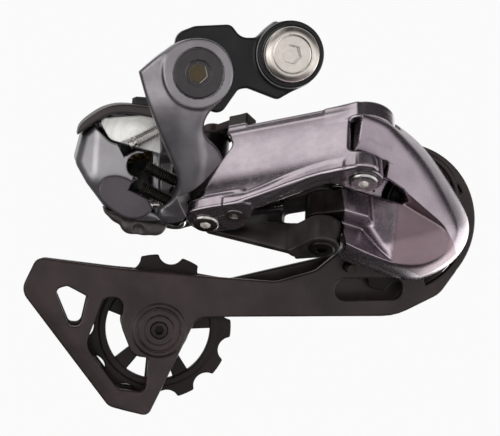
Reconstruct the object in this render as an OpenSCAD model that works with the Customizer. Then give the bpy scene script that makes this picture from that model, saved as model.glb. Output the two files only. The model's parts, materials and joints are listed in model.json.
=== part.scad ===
// Rear derailleur with a motor-driven slant parallelogram and a spring-loaded pulley cage.
// Frame: +X to the front of the bicycle, +Y towards the wheel, +Z up.
// Origin: axis of the hanger bolt at the face that bears on the frame's hanger.
// The derailleur rests at its outermost sprocket with the cage sprung fully back.

/* [Hanger link] */
// Radius of the eye round the hanger bolt
eye_r = 9.9; // [9.4:0.1:10.4]
// Thickness of the hanger link plate
link_plate_t = 5.5; // [5:0.1:6]
// Radius of the hanger bolt's thread, M10
hanger_thread_r = 5; // [4.9:0.05:5]
// Length of the hanger bolt's thread beyond the hanger face
hanger_thread_length = 9; // [7:0.5:11]

/* [B knuckle] */
// Bracket axle, forward position
axle_x = -27.8; // [-28.2:0.1:-27.4]
// Bracket axle, height
axle_z = -5.4; // [-5.8:0.1:-5]
// Radius of the knuckle's ring round the bracket axle
ring_r = 10; // [9.7:0.1:10.3]
// Wall of the motor housing
wall = 2; // [1.6:0.1:2.2]

/* [Parallelogram] */
// Length of both links between pin centres
link_length = 50; // [49.8:0.1:50.2]
// Radius of every link pin
pin_r = 2.5; // [2.3:0.05:2.6]
// Radial running clearance in every link pivot
pin_gap = 0.05; // [0.04:0.01:0.08]
// Thickness of the outer link's curved face
face_t = 2.8; // [2.4:0.1:3.2]

/* [Cage] */
// Thickness of both cage plates
cage_t = 2.4; // [2:0.1:2.5]
// Number of teeth on each pulley
pulley_teeth = 11; // [11]
// Radius at the tips of the pulley teeth
pulley_tip_r = 22.5; // [22.2:0.1:22.6]
// Width of the pulley teeth
tooth_w = 2.2; // [1.8:0.1:2.4]

/* [Hidden] */
$fn = 48;

// The links' pins lean: first tipped inboard by the slant, then forward by the lean.
slant = 38;
lean = 7.7;
// Direction of the links in the plane across their pins
link_turn = -27.85;
b_pin = [-24.15, 2, -50.4];
// Inner link's pins from the outer link's pins, along the link and square to it
inner_pin = [-16.2, 9.9];
p_pin_inner = inner_pin + [link_length, 0];

// Levels along the outer link's pins, measured from the underside of its lower ear
b_ear_top = 4.2;
b_barrel = [4.4, 30.3];
b_upper_ear = [30.5, 33.5];
p_lower_ear = [4.9, 11.4];
p_barrel = [11.6, 22.6];
p_upper_ear = [22.8, 28.6];
face_out = -8.4;
face_curve_r = 62;
face_mid = 15;
p_end_r = 9;

// Levels along the inner link's pins
inner_b_low_ear = [10, 13];
inner_b_barrel = [13.2, 20];
inner_b_top_ear = [20.2, 23.2];
inner_p_low_ear = [-9.2, -0.5];
inner_p_boss = [-0.3, 8];
inner_p_top_ear = [8.2, 11.5];
inner_web_out = 10.6;
inner_web_in = 13.8;
boss_r = 5.5;

// Final gear stage of the drive
gear_module = 0.8;
sector_teeth = 24;
pinion_teeth = 12;
gear_gap = 0.12;
motor_r = 4.6;
motor_start = 11.5;
gear_level = [23.3, 26.3];
drive_angle = 250;
gear_distance = gear_module * (sector_teeth + pinion_teeth) / 2 + 0.1;
pinion_at = inner_pin + gear_distance * [cos(drive_angle), sin(drive_angle)];

// Cage
guide = [35.75, -51.1];
tension = [-38.05, -83.4];
cage_pivot = [39.4, -44.6];
pulley_mid = 12;
outer_plate_y = 6;
plate_gap = 7;
inner_plate_y = outer_plate_y + cage_t + plate_gap;
arc_r = 24.2;
guide_phase = 59;
tension_phase = 96;
bushing_r = 3.9;
cap_r = 9;
bevel_tilt = 9;
stop_at = [20.2, -64.9];

// Front and back of the castings
ring_front = -16;
ring_back = -6;
bowl_rim_y = -16;
bowl_floor_y = -10.4;
knuckle_back = 5.5;
spring_pocket_y = -3;
housing_front = 3;
housing_back = 30;

// ---- outlines and placing ----

function unit(v) = v / norm(v);
// One corner of an outline, cut off by an arc of its own radius; a corner is [x, y, radius]
function corner(a, b, c, r) = let(
    p = unit(a - b), q = unit(c - b), half = acos(max(-1, min(1, p * q))) / 2)
    r == 0 || half > 89 ? [b] : let(
    reach = r / tan(half), centre = b + unit(p + q) * r / sin(half),
    from = b + p * reach - centre, to = b + q * reach - centre,
    start = atan2(from[1], from[0]), end = atan2(to[1], to[0]),
    turn = end - start > 180 ? end - start - 360 : end - start < -180 ? end - start + 360 : end - start,
    steps = max(2, ceil(abs(turn) / 15)))
    [for (k = [0:steps]) centre + r * [cos(start + turn * k / steps), sin(start + turn * k / steps)]];
function xy(p) = [p[0], p[1]];
function rounded(points) = let(n = len(points)) [for (i = [0:n - 1])
    each corner(xy(points[(i + n - 1) % n]), xy(points[i]), xy(points[(i + 1) % n]), points[i][2])];
// Points of an arc
function arc(centre, r, from, to, steps = 12) =
    [for (k = [0:steps]) let(a = from + (to - from) * k / steps) centre + r * [cos(a), sin(a)]];

// A flat outline drawn in X and Z, filled from y0 to y1
module in_xz(y0, y1) translate([0, y1, 0]) rotate([90, 0, 0]) linear_extrude(y1 - y0) children();
// A flat outline drawn in Y and Z, filled from x0 to x1
module in_yz(x0, x1) translate([x0, 0, 0]) rotate([90, 0, 90]) linear_extrude(x1 - x0) children();
// A round bar or bore along Y
module along_y(x, z, r, y0, y1, r2 = -1)
    translate([x, y0, z]) rotate([-90, 0, 0]) cylinder(r1 = r, r2 = r2 < 0 ? r : r2, h = y1 - y0);
// A round bar or bore along a link pin, in the links' frame
module on_pin(at, r, z0, z1) translate([at[0], at[1], z0]) cylinder(r = r, h = z1 - z0);
// The links' frame: X along the links, Y square to them towards the wheel, Z along the pins
module links() translate(b_pin) rotate([-slant, 0, 0]) rotate([0, lean, 0]) rotate([0, 0, link_turn]) children();
module hex_socket(x, z, across, y0, y1)
    translate([x, y1, z]) rotate([90, 0, 0]) cylinder(r = across / sqrt(3), h = y1 - y0, $fn = 6);

// ---- body fixed to the hanger ----

module hanger_link() color([0.09, 0.08, 0.08]) difference() {
    union() {
        along_y(0, 0, eye_r, -9, 0);
        in_xz(-link_plate_t, 0) polygon(rounded([
            [axle_x, 8.3, 4], [-17.2, 8.8, 2], [-14.2, 4.9, 3], [-9.2, 4.9, 3], [-4, 9.4, 0], [0, 0, 0],
            [8.7, -5, 0], [5.6, -8.4, 3], [-3.4, -13.4, 2], [-12.5, -9.9, 3], [-15, -10.3, 2],
            [-20.3, -17.6, 3], [-26, -15.8, 3], [-34.8, -5, 4], [-33.2, 6.2, 4]]));
        along_y(axle_x, axle_z, 7.6, -link_plate_t, 0);
        // Stop lug that leans on the back of the hanger
        in_xz(-0.5, 6) polygon(rounded([[-13.6, -3, 1], [-10.6, -2, 1], [-10.6, 3.4, 1], [-13.6, 3.8, 1]]));
    }
    along_y(0, 0, hanger_thread_r + 0.1, -10, 1);
    along_y(axle_x, axle_z, 4.05, -10, 1);
}

module hanger_bolt() color("silver") difference() {
    union() {
        along_y(0, 0, 6.6, -12.4, -11.2, 8.1);
        along_y(0, 0, 8.1, -11.2, -9.02);
        along_y(0, 0, hanger_thread_r - 0.6, -9.05, 0.01);
        along_y(0, 0, hanger_thread_r, 0, hanger_thread_length - 1);
        along_y(0, 0, hanger_thread_r, hanger_thread_length - 1, hanger_thread_length, 4.1);
    }
    hex_socket(0, 0, 5, -13, -6.5);
    along_y(0, 0, 4.6, -12.5, -11.8, 3.4);
}

module bracket_axle_bolt() color([0.14, 0.13, 0.14]) difference() {
    union() {
        along_y(axle_x, axle_z, 7.2, ring_front - 0.6, ring_front + 1.4);
        along_y(axle_x, axle_z, 5, ring_front + 1.3, -link_plate_t - 0.02);
        along_y(axle_x, axle_z, 4, -link_plate_t - 0.1, -0.4);
    }
    hex_socket(axle_x, axle_z, 5, ring_front - 2, ring_front + 4);
    along_y(axle_x, axle_z, 3.6, ring_front - 0.7, ring_front - 0.1, 3);
}

module axle_bushing() color([0.75, 0.72, 0.6]) difference() {
    along_y(axle_x, axle_z, 5.9, ring_front + 1.6, ring_back - 0.1);
    along_y(axle_x, axle_z, 5.02, ring_front, ring_back + 1);
}

module axle_dust_ring() color([0.05, 0.05, 0.05]) difference() {
    along_y(axle_x, axle_z, 9.4, ring_back + 0.05, -link_plate_t - 0.02);
    along_y(axle_x, axle_z, 5.05, ring_back - 1, 0);
}

// ---- knuckle with the drive ----

// Room that the inner link's ears and the toothed sector need in the castings
module inner_link_room() {
    on_pin(inner_pin, 6.7, -1, inner_b_barrel[0]);
    on_pin(inner_pin, 6.7, inner_b_barrel[1], 32);
}
module sector_room() {
    on_pin(inner_pin, gear_module * sector_teeth / 2 + 1.5, gear_level[0] - 0.6, gear_level[1] + 0.6);
    on_pin(pinion_at, gear_module * pinion_teeth / 2 + 1.2, gear_level[0] - 0.6, gear_level[1] + 0.9);
}

module b_knuckle() color([0.55, 0.54, 0.57]) difference() {
    union() {
        along_y(axle_x, axle_z, ring_r, ring_front, ring_back);
        // Arm: its outline seen from outside, bent inboard towards the links
        intersection() {
            in_xz(ring_front, 14) polygon(rounded([
                [-34.4, 1.6, 2], [-44.6, -5.2, 1], [-39.6, -18.5, 12], [-32.6, -34, 10], [-37.6, -47, 3],
                [-32.4, -50.6, 3], [-25.5, -46.5, 3], [-21.5, -34, 5], [-27.6, -22, 12], [-18.6, -7, 2],
                [-22, 2.6, 3]]));
            in_yz(-46, -15) polygon(rounded([
                [ring_front, 5, 0], [ring_front, -17, 12], [-3.5, -46, 4], [-0.5, -51.5, 3], [12, -51.5, 1],
                [12, -41, 4], [ring_back, -21, 6], [ring_back, 5, 0]]));
        }
        links() {
            on_pin([0, 0], 5.2, b_barrel[0], b_barrel[1]);
            on_pin(inner_pin, 5.4, inner_b_barrel[0], inner_b_barrel[1]);
            // Rib that ties both pin barrels together
            translate([0, 0, inner_b_barrel[0]]) linear_extrude(inner_b_barrel[1] - inner_b_barrel[0])
                polygon([[1.5, 3.4], [-2, -4.2], [-18.1, 6.5], [-13.6, 12.4]]);
            // Rib from the arm up the outer barrel
            translate([0, 0, b_barrel[0]]) linear_extrude(16)
                polygon([[0, -4.9], [-4, 4], [-14, 1.5], [-13, -3.5]]);
        }
        // Flange that the motor housing is screwed to
        in_yz(-37.5, -33.6) polygon(rounded([[-2.2, -20.6, 2], [24, -19.8, 3], [24, -46, 3],
            [6, -50, 3], [-2.2, -46, 2]]));
    }
    // Chamfer down the rear edge of the arm
    translate([-37.4, ring_front + 2.2, 0]) rotate([0, 14, 0])
        translate([0, 0, -60]) linear_extrude(80) polygon([[0, 0], [12, 16.5], [-30, 30], [-30, 2]]);
    along_y(axle_x, axle_z, 5.95, ring_front - 1, ring_back + 1);
    along_y(axle_x, axle_z, 7.35, ring_front - 1, ring_front + 1.5);
    links() {
        on_pin([0, 0], pin_r + pin_gap, 0, 34);
        on_pin(inner_pin, pin_r + pin_gap, 0, 28);
        inner_link_room();
        sector_room();
        on_pin(pinion_at, motor_r + 0.1, motor_start - 1, gear_level[0]);
        // Room for the outer link's lower ear and face
        on_pin([0, 0], 7.8, -6, b_barrel[0]);
        translate([0, 0, -6]) linear_extrude(42) polygon([[-3, -5.1], [-3, -14], [40, -14], [40, -3.3], [8, -5.1]]);
    }
    screw_room(2.02);
    cover_screw_holes(1.02);
}

// Stop screws: tip, direction as turns about Y, length; all reach forward through the flange
b_tension_at = [-46.8, 4, -26.9];
high_limit_at = [-42, 1.6, -33.2];
low_limit_at = [-43.6, 1.6, -39.3];
b_tension_tilt = -26;
limit_tilt = 27;
cover_screw_spots = [[20.5, -24], [9, -45.2]];
module cover_screw_holes(r) for (s = cover_screw_spots)
    translate([-44, s[0], s[1]]) rotate([0, 90, 0]) cylinder(r = r, h = 12);
module from_screw(at, tilt) translate(at) rotate([0, tilt, 0]) rotate([0, 90, 0]) children();
module screw_room(r) {
    from_screw(b_tension_at, b_tension_tilt) translate([0, 0, -3]) cylinder(r = r, h = 21);
    from_screw(high_limit_at, limit_tilt) translate([0, 0, -3]) cylinder(r = r, h = 16);
    from_screw(low_limit_at, limit_tilt) translate([0, 0, -3]) cylinder(r = r, h = 16);
}

housing_outline = [[-60.6, -23.2, 2], [-63, -32.2, 3], [-59.6, -38.4, 3], [-54, -46, 4], [-47, -50, 3],
    [-37.6, -50, 1], [-37.6, -19.4, 1], [-50.4, -17, 3], [-56.6, -20.4, 3]];
cable_socket = [-52.5, -26.5];
cable_socket_r = 2.75;
cavity_outline = [[-58.4, -24.4, 1], [-60.6, -32, 2], [-57.4, -37.4, 2], [-52.4, -44.4, 3], [-46.4, -47.8, 2],
    [-39.6, -47.8, 1], [-39.6, -21.6, 1], [-50, -19.2, 2], [-55.8, -22.4, 2]];
recess_floor = housing_front + 5;
module housing_recess() polygon(rounded([[-57.8, -18, 1], [-56.2, -20.6, 2], [-51.9, -25.9, 4], [-36, -30.4, 0],
    [-36, -14, 0], [-52, -14, 1]]));

// Facets that slope back at the housing's rear edge and lower corner, moved inward by d
module housing_facets(d) {
    translate([-55.5 + d, housing_front, 0]) rotate([0, 0, 138]) translate([-8, 0, -60]) cube([40, 20, 60]);
    translate([-56, housing_front, -42 + d]) rotate([0, 38, 0]) rotate([-40, 0, 0])
        translate([-20, -20, -20]) cube([40, 20, 20]);
}
module motor_housing() color([0.47, 0.46, 0.49]) difference() {
    in_xz(housing_front, housing_back) polygon(rounded(housing_outline));
    housing_facets(0);
    // Inside
    difference() {
        in_xz(housing_front + wall, housing_back + 1) polygon(rounded(cavity_outline));
        housing_facets(wall * 1.4);
        // Floor behind the recess for the side plate
        in_xz(housing_front, recess_floor + wall) housing_recess();
    }
    in_xz(housing_front - 1, recess_floor) housing_recess();
    // Opening for the limit screws
    in_xz(housing_front - 1, housing_front + wall + 4) polygon(rounded([
        [-44.2, -30.6, 2], [-36, -30.6, 0], [-36, -48, 0], [-40.5, -46, 2], [-46.2, -38.6, 2]]));
    links() {
        inner_link_room();
        on_pin(inner_pin, 6.7, 0, 32);
        sector_room();
        on_pin(pinion_at, motor_r + 0.1, motor_start - 1.5, gear_level[0]);
    }
    screw_room(2.6);
    cover_screw_holes(1.1);
}
module housing_rear_cover() color([0.2, 0.19, 0.2]) difference() {
    union() {
        in_xz(housing_back + 0.02, housing_back + 2) polygon(rounded(housing_outline));
        along_y(cable_socket[0], cable_socket[1], 4.6, housing_back - 3, housing_back + 3);
    }
    along_y(cable_socket[0], cable_socket[1], cable_socket_r, housing_back - 2, housing_back + 4);
    links() { on_pin(inner_pin, 7.2, 0, 34); sector_room(); }
}
module top_guard() color([0.24, 0.18, 0.17]) difference() {
    in_xz(5, 22) polygon(rounded([
        [-62.2, -23.9, 0.5], [-61.4, -20.6, 3], [-51.4, -14.4, 5], [-37.8, -16, 0.5], [-37.8, -19.3, 0.3],
        [-50.4, -16.9, 4], [-56.7, -20.3, 3], [-60.6, -23.1, 0.5]]));
    // Seat of the cable plug
    translate([-45.5, 13, -14.82]) rotate([0, 94, 0]) cylinder(r = 2.25, h = 12);
}
module side_plate() color([0.93, 0.93, 0.93]) in_xz(housing_front + 3.4, housing_front + 4.9)
    polygon(rounded([[-52.4, -18.6, 2], [-38.2, -20.8, 0.5], [-38.2, -29.2, 0.5], [-51.6, -25.8, 1]]));
module lower_cover() color([0.19, 0.17, 0.18]) difference() {
    in_xz(housing_front - 2, housing_front - 0.02) polygon(rounded([[-56, -42.4, 3], [-54.6, -36.4, 3.5],
        [-44.4, -37.8, 3], [-39.2, -46.8, 2], [-47, -49.2, 3]]));
    screw_room(2.6);
}
module cable_port_cover() color([0.2, 0.16, 0.16]) difference() {
    in_xz(7, 20) polygon(rounded([[-54.8, -45.5, 0], [-54, -48, 2], [-49.4, -50.4, 2], [-47.6, -53.4, 2],
        [-38.2, -54.4, 2], [-35.4, -52.4, 1.5], [-35.4, -50.2, 0], [-47.2, -50.05, 0]]));
    links() inner_link_room();
}
module cable_plug() color([0.04, 0.04, 0.04]) union() {
    translate([-45.4, 13, -14.8]) rotate([0, 94, 0]) cylinder(r1 = 1.6, r2 = 2.2, h = 1.2);
    translate([-44.3, 13, -14.9]) rotate([0, 94, 0]) cylinder(r = 2.2, h = 5.4);
}

module drive_motor() color("silver") links() {
    on_pin(pinion_at, motor_r, motor_start, gear_level[0] - 1.2);
    on_pin(pinion_at, 0.98, motor_start - 1, gear_level[1] + 0.4);
}
module circuit_board() color([0.06, 0.3, 0.16]) in_xz(22, 23.2)
    polygon([[-57.5, -26], [-58.5, -32], [-54, -40], [-48.5, -40], [-48.5, -22], [-54, -24]]);
module cover_screws() color("silver")
    for (s = cover_screw_spots) translate([-39.62, s[0], s[1]]) rotate([0, 90, 0]) {
        translate([0, 0, -1.6]) cylinder(r = 1.9, h = 1.6);
        translate([0, 0, -0.1]) cylinder(r = 1, h = 6);
    }

// Stud with a driver socket in its rear end; the thread itself is left smooth
module stop_screw(length) difference() {
    union() {
        cylinder(r = 1.6, h = 1.4);
        translate([0, 0, 1.3]) cylinder(r = 1.1, h = 1);
        translate([0, 0, 2.2]) cylinder(r = 1.97, h = length - 2.2);
    }
    translate([0, 0, -1]) cylinder(r = 0.9, h = 2.2, $fn = 6);
}
module b_tension_screw() color([0.3, 0.29, 0.3]) from_screw(b_tension_at, b_tension_tilt) stop_screw(14);
module limit_screw() difference() {
    cylinder(r = 1.97, h = 10.5);
    translate([0, 0, -1]) cylinder(r = 1.15, h = 2.6, $fn = 6);
}
module high_limit_screw() color([0.12, 0.11, 0.11]) from_screw(high_limit_at, limit_tilt) limit_screw();
module low_limit_screw() color([0.12, 0.11, 0.11]) from_screw(low_limit_at, limit_tilt) limit_screw();

// ---- gears ----

function involute(a) = tan(a) * 180 / PI - a;
// Half angle of one tooth at radius r
function tooth_half(n, r) = let(pitch = gear_module * n / 2, base = pitch * cos(20))
    90 / n - gear_gap / 2 / pitch * 180 / PI + involute(20) - involute(acos(min(1, base / max(r, base))));
module gear_flat(n, from, to) {
    pitch = gear_module * n / 2;
    radii = [for (k = [0:5]) pitch - 0.95 * gear_module + k * 1.75 * gear_module / 5];
    circle(r = pitch - 0.9 * gear_module);
    for (i = [from:to]) rotate(i * 360 / n)
        polygon(concat([[0, 0]], [for (r = radii) r * [cos(-tooth_half(n, r)), sin(-tooth_half(n, r))]],
            [for (k = [5:-1:0]) radii[k] * [cos(tooth_half(n, radii[k])), sin(tooth_half(n, radii[k]))]]));
}
module motor_pinion() color([0.8, 0.68, 0.35]) links() difference() {
    translate([pinion_at[0], pinion_at[1], gear_level[0]]) rotate(drive_angle - 180)
        linear_extrude(gear_level[1] - gear_level[0]) rotate(180 / pinion_teeth) gear_flat(pinion_teeth, 0, pinion_teeth - 1);
    on_pin(pinion_at, 1, 0, 40);
}
module drive_sector() color([0.8, 0.68, 0.35]) links() difference() {
    translate([inner_pin[0], inner_pin[1], gear_level[0]]) rotate(drive_angle)
        linear_extrude(gear_level[1] - gear_level[0]) difference() {
            gear_flat(sector_teeth, -5, 1);
            difference() {
                circle(r = 12);
                circle(r = 5.6);
                polygon([[0, 0], 14 * [cos(22), sin(22)], 14 * [cos(-25), sin(-25)], 14 * [cos(-82), sin(-82)]]);
            }
        }
    on_pin(inner_pin, pin_r + 0.02, 0, 40);
}

// ---- outer link ----

face_outline = [[-2, -1.8, 3], [10.4, 20.7, 3], [8.2, 27.8, 1.5], [26.2, 28.8, 0], [47.8, 28.6, 2],
    [48.4, 10.6, 2.4], [54.5, 9.4, 2.5], [55.6, 4.9, 0], [45.4, 6.3, 3], [34.9, 4.8, 0],
    [20.7, 1.6, 8], [1.6, -0.4, 2]];
module outer_link() color([0.56, 0.53, 0.56]) links() difference() {
    union() {
        // Face, curved across its width
        intersection() {
            in_xz(face_out - 2, 2) polygon(rounded(face_outline));
            translate([-20, face_out + face_curve_r, face_mid]) rotate([0, 90, 0]) difference() {
                cylinder(r = face_curve_r, h = 100, $fn = 200);
                translate([0, 0, -1]) cylinder(r = face_curve_r - face_t, h = 102, $fn = 200);
            }
            // Right end wraps round the front pin
            translate([0, 0, -5]) linear_extrude(60) union() {
                translate([-10, -20]) square([57, 40]);
                translate([50, 0.6]) circle(r = p_end_r);
            }
        }
        // Lower ear on the knuckle side
        linear_extrude(b_ear_top) polygon(rounded([
            [-5.2, 3, 4], [-5, -5.5, 4], [0, -7.4, 3], [17, -6.4, 1], [15.6, -1, 2], [9.6, 7, 3], [1, 5.2, 4]]));
        // Lower ear on the cage side
        translate([0, 0, p_lower_ear[0]]) linear_extrude(p_lower_ear[1] - p_lower_ear[0])
            polygon(concat([[40.5, -6.6], [40.5, -2], [44.8, 2.4]], arc([50, 0], 5.7, 130, -75, 14), [[46, -7.4]]));
        // Upper ear on the cage side, as wide as the top flange
        translate([0, 0, p_upper_ear[0]]) linear_extrude(p_upper_ear[1] - p_upper_ear[0])
            polygon(concat([[40, -6.4], [43, 3.5]], arc([50, 0.6], 6.8, 130, 80, 6), arc([50, 0.6], p_end_r - 0.6, 50, -85, 12)));
        // Top flange
        translate([0, 0, 26]) linear_extrude(2.6) polygon([[8.6, -6.2], [9, -2.4], [20, -1.4], [44, -1.4], [50, -6.6]]);
        // Upper ear on the knuckle side and the post that carries it
        translate([0, 0, b_upper_ear[0]]) linear_extrude(b_upper_ear[1] - b_upper_ear[0])
            polygon(concat([[14, -6.2], [15, -2]], arc([0, 0], 4.8, 60, 270, 14)));
        translate([0, 0, 26]) linear_extrude(b_upper_ear[0] - 25.5)
            polygon([[8.4, -6.4], [8.4, -2.4], [15, -2], [14, -6.4]]);
        // Flange along the arched lower edge
        in_xz(face_out + 1.6, -1.4) polygon([[13, 0.2], [16, 0.9], [21, 1.6], [34.9, 4.8], [43, 6.2],
            [43, 8.6], [34, 7.2], [21, 4], [13, 3.4]]);
    }
    on_pin([0, 0], pin_r + 0.02, -3, 40);
    on_pin([0, 0], 5.4, b_ear_top + 0.05, b_barrel[1] + 0.05);
    on_pin([link_length, 0], pin_r + 0.02, -3, 40);
    on_pin([10.1, -1.6], 2.02, -3, 10);
}

module pin_with_head(at, z0, z1, head_r, head_h) difference() {
    union() {
        on_pin(at, pin_r, z0 - 0.4, z1);
        translate([at[0], at[1], z0 - head_h]) cylinder(r1 = head_r - 0.5, r2 = head_r, h = 0.5);
        on_pin(at, head_r, z0 - head_h + 0.5, z0);
    }
    translate([at[0], at[1], z0 - head_h - 1]) cylinder(r = 1.75, h = 2.2, $fn = 6);
}
module outer_link_pin_b() color("silver") links() pin_with_head([0, 0], -0.02, b_upper_ear[1] + 1.6, 4.1, 0.8);
module outer_link_pin_p() color("silver") links()
    pin_with_head([link_length, 0], p_lower_ear[0] - 0.02, p_upper_ear[1] + 1.4, 4.3, 0.9);
module clip(at, z) difference() {
    on_pin(at, 3.9, z, z + 0.8);
    on_pin(at, pin_r + 0.01, z - 1, z + 2);
    translate([at[0] - 1.6, at[1], z - 1]) cube([3.2, 6, 3]);
}
module outer_pin_clips() color([0.12, 0.12, 0.12]) links() {
    clip([0, 0], b_upper_ear[1] + 0.02);
    clip([link_length, 0], p_upper_ear[1] + 0.02);
}
module stop_rivet() color([0.6, 0.58, 0.56]) links() difference() {
    union() {
        on_pin([10.1, -1.6], 2, -0.3, b_ear_top + 1.2);
        on_pin([10.1, -1.6], 2.9, -0.5, -0.02);
    }
    on_pin([10.1, -1.6], 1.4, -2, 2.4);
}

// ---- inner link ----

module inner_link() color([0.24, 0.21, 0.2]) links() difference() {
    union() {
        for (z = [inner_b_low_ear, inner_b_top_ear]) translate([0, 0, z[0]]) linear_extrude(z[1] - z[0])
            polygon(concat([[-4, inner_web_in], [-4, inner_web_out]], arc(inner_pin, boss_r, -70, -290, 14)));
        translate([0, 0, inner_p_low_ear[0]]) linear_extrude(inner_p_low_ear[1] - inner_p_low_ear[0])
            polygon(concat([[24, inner_web_in], [24, inner_web_out - 2.4]], arc(p_pin_inner, boss_r, -110, 100, 14)));
        translate([0, 0, inner_p_top_ear[0]]) linear_extrude(inner_p_top_ear[1] - inner_p_top_ear[0])
            polygon(concat([[10, inner_web_in], [10, inner_web_out]], arc(p_pin_inner, boss_r, -110, 100, 14)));
        // Web, tall at the knuckle and dropping towards the cage
        in_xz(inner_web_out, inner_web_in) polygon(rounded([
            [-8, 8.4, 1], [-5.5, 6.2, 1], [27.5, -6.8, 2], [27.5, 0.6, 2], [20, 3.4, 2], [20, 8.2, 2], [26, 8.2, 0],
            [26, 11.5, 0], [14, 11.5, 4], [2, 23.2, 3], [-8, 23.2, 1]]));
        // Lower flange, a step in front of the web
        in_xz(inner_web_out - 2.4, inner_web_out + 0.5) polygon(rounded([
            [-6.5, 4.4, 1], [-3, 5.4, 2], [14, 3.4, 6], [26.5, 0.2, 1], [26.5, -9, 2], [24, -9.2, 3]]));
    }
    on_pin(inner_pin, pin_r + 0.02, 0, 30);
    on_pin(p_pin_inner, pin_r + 0.02, -12, 30);
}
module inner_link_pin_b() color("silver") links() pin_with_head(inner_pin, inner_b_low_ear[0] - 0.02, gear_level[1] + 1.2, 4, 0.9);
module inner_link_pin_p() color([0.4, 0.38, 0.37]) links()
    pin_with_head(p_pin_inner, inner_p_low_ear[0] - 0.02, inner_p_top_ear[1] + 1, 3.9, 0.7);

// Coil about the Z axis: rings of points along its path, joined to one closed tube
module coil(r, wire, turns, height, steps = 16, sides = 8) {
    n = round(turns * steps);
    points = [for (i = [0:n]) let(a = i * 360 / steps, z = height * i / n)
        for (k = [0:sides - 1]) let(w = k * 360 / sides)
            [(r + wire * cos(w)) * cos(a), (r + wire * cos(w)) * sin(a), z + wire * sin(w)]];
    skin = [for (i = [0:n - 1]) for (k = [0:sides - 1]) let(next = (k + 1) % sides)
        each [[i * sides + k, (i + 1) * sides + next, (i + 1) * sides + k],
            [i * sides + k, i * sides + next, (i + 1) * sides + next]]];
    start = [[for (k = [sides - 1:-1:0]) k]];
    end = [[for (k = [0:sides - 1]) n * sides + k]];
    polyhedron(points, concat(skin, start, end));
}
module saver_spring() color([0.1, 0.1, 0.1]) links() translate([13.4, 4.7, 8]) rotate([0, 94, -5])
    coil(2.3, 0.4, 9, 9, 12);

// ---- knuckle at the cage ----

rim_outline = [[8.5, -48.5, 2], [12.2, -53.4, 3], [24, -57.8, 0], [35.8, -60.6, 6], [46.6, -58.4, 4],
    [46.6, -51.6, 3], [38.3, -43.4, 0], [27.8, -36.2, 0], [25, -33, 2], [14, -44, 3]];
back_outline = [[17, -55.2, 2], [17.2, -61, 2], [27, -66.2, 4], [37.5, -69, 12], [49.6, -64.8, 10],
    [57, -56.4, 9], [52.6, -43.4, 12], [43, -30.4, 8], [30, -18.6, 3], [25, -19, 3], [22, -36, 3]];
module ribbon_front() polygon(rounded([[27.6, -36.4, 0.4], [22.4, -26, 1], [22.4, -19.6, 1], [30, -21.6, 1],
    [40, -33, 4], [47.4, -52.4, 1], [38.3, -43.6, 0]]));
module p_knuckle_casting() {
    // Housing: wide at the cage, narrower at the rim
    hull($fn = 32) {
        in_xz(bowl_rim_y, bowl_rim_y + 1) polygon(rounded(rim_outline));
        in_xz(1, knuckle_back) polygon(rounded(back_outline));
    }
    // Ribbon that climbs to the outer link
    hull($fn = 32) {
        in_xz(-13, -12) ribbon_front();
        in_xz(0, 2) polygon(rounded([[26, -17.4, 3], [33, -20.6, 6], [44, -32, 6], [56, -54, 3],
            [40, -50, 3], [26, -36, 3]]));
    }
}
module bowl() hull($fn = 32) {
    in_xz(bowl_rim_y - 1, bowl_rim_y) polygon(rounded([[20, -46, 2], [16.4, -53, 2], [25, -56.8, 0], [36, -59.4, 6],
        [44.6, -57, 3], [45, -53.2, 2], [37.6, -44.6, 0], [29, -38.6, 2]]));
    in_xz(bowl_floor_y - 0.1, bowl_floor_y) polygon(rounded([[30, -45, 2], [27.5, -54.6, 3], [36, -57.4, 4],
        [43.4, -55, 2], [37, -46, 0]]));
}
// Room that the links need as they swing, in the links' frame at rest
module outer_link_room() {
    on_pin([link_length, 0], 6.4, -20, p_barrel[0]);
    on_pin([link_length, 0], p_end_r + 1.2, p_barrel[1], 60);
    translate([0, 0, -2]) linear_extrude(60) polygon([[48, -14], [46, -4.5], [40, 0], [0, 4], [0, -40], [40, -40]]);
    // Path of the link's notch edge and lower ear round the pin
    translate([0, 0, 3]) linear_extrude(p_barrel[1] - 3) polygon(concat([[link_length, 0]],
        arc([link_length, 0], p_end_r + 1, 170, 330)));
}
module inner_link_path() {
    on_pin(p_pin_inner, 6.2, -30, inner_p_boss[0]);
    on_pin(p_pin_inner, 6.2, inner_p_boss[1], 30);
    translate([0, 0, -30]) linear_extrude(60) polygon([[28.2, 4], [28.2, 30], [0, 30], [0, 4]]);
}
module p_knuckle() color([0.5, 0.47, 0.5]) difference() {
    union() {
        difference() {
            p_knuckle_casting();
            bowl();
            links() {
                outer_link_room();
                inner_link_path();
            }
        }
        links() {
            on_pin([link_length, 0], boss_r, p_barrel[0], p_barrel[1]);
            on_pin(p_pin_inner, boss_r, inner_p_boss[0], inner_p_boss[1]);
            // Arms from the two barrels into the casting
            translate([0, 0, inner_p_boss[0]]) linear_extrude(inner_p_boss[1] - inner_p_boss[0])
                polygon([[0, -5.4] + p_pin_inner, [8.8, -4.2] + p_pin_inner, [14, 1] + p_pin_inner,
                    [14, 8] + p_pin_inner, [0, 5.4] + p_pin_inner]);
            translate([0, 0, p_barrel[0]]) linear_extrude(p_barrel[1] - p_barrel[0])
                polygon([[52, -5], [58, 0], [59, 12], [50, 10], [47, 4.5]]);
        }
    }
    // Pocket for the cage spring and bore for the cage axle
    along_y(cage_pivot[0], cage_pivot[1], 11, spring_pocket_y, knuckle_back + 1);
    along_y(cage_pivot[0], cage_pivot[1], 5.05, -9, knuckle_back);
    links() {
        on_pin([link_length, 0], pin_r + pin_gap, -5, 40);
        on_pin(p_pin_inner, pin_r + pin_gap, -14, 30);
    }
}
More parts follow.
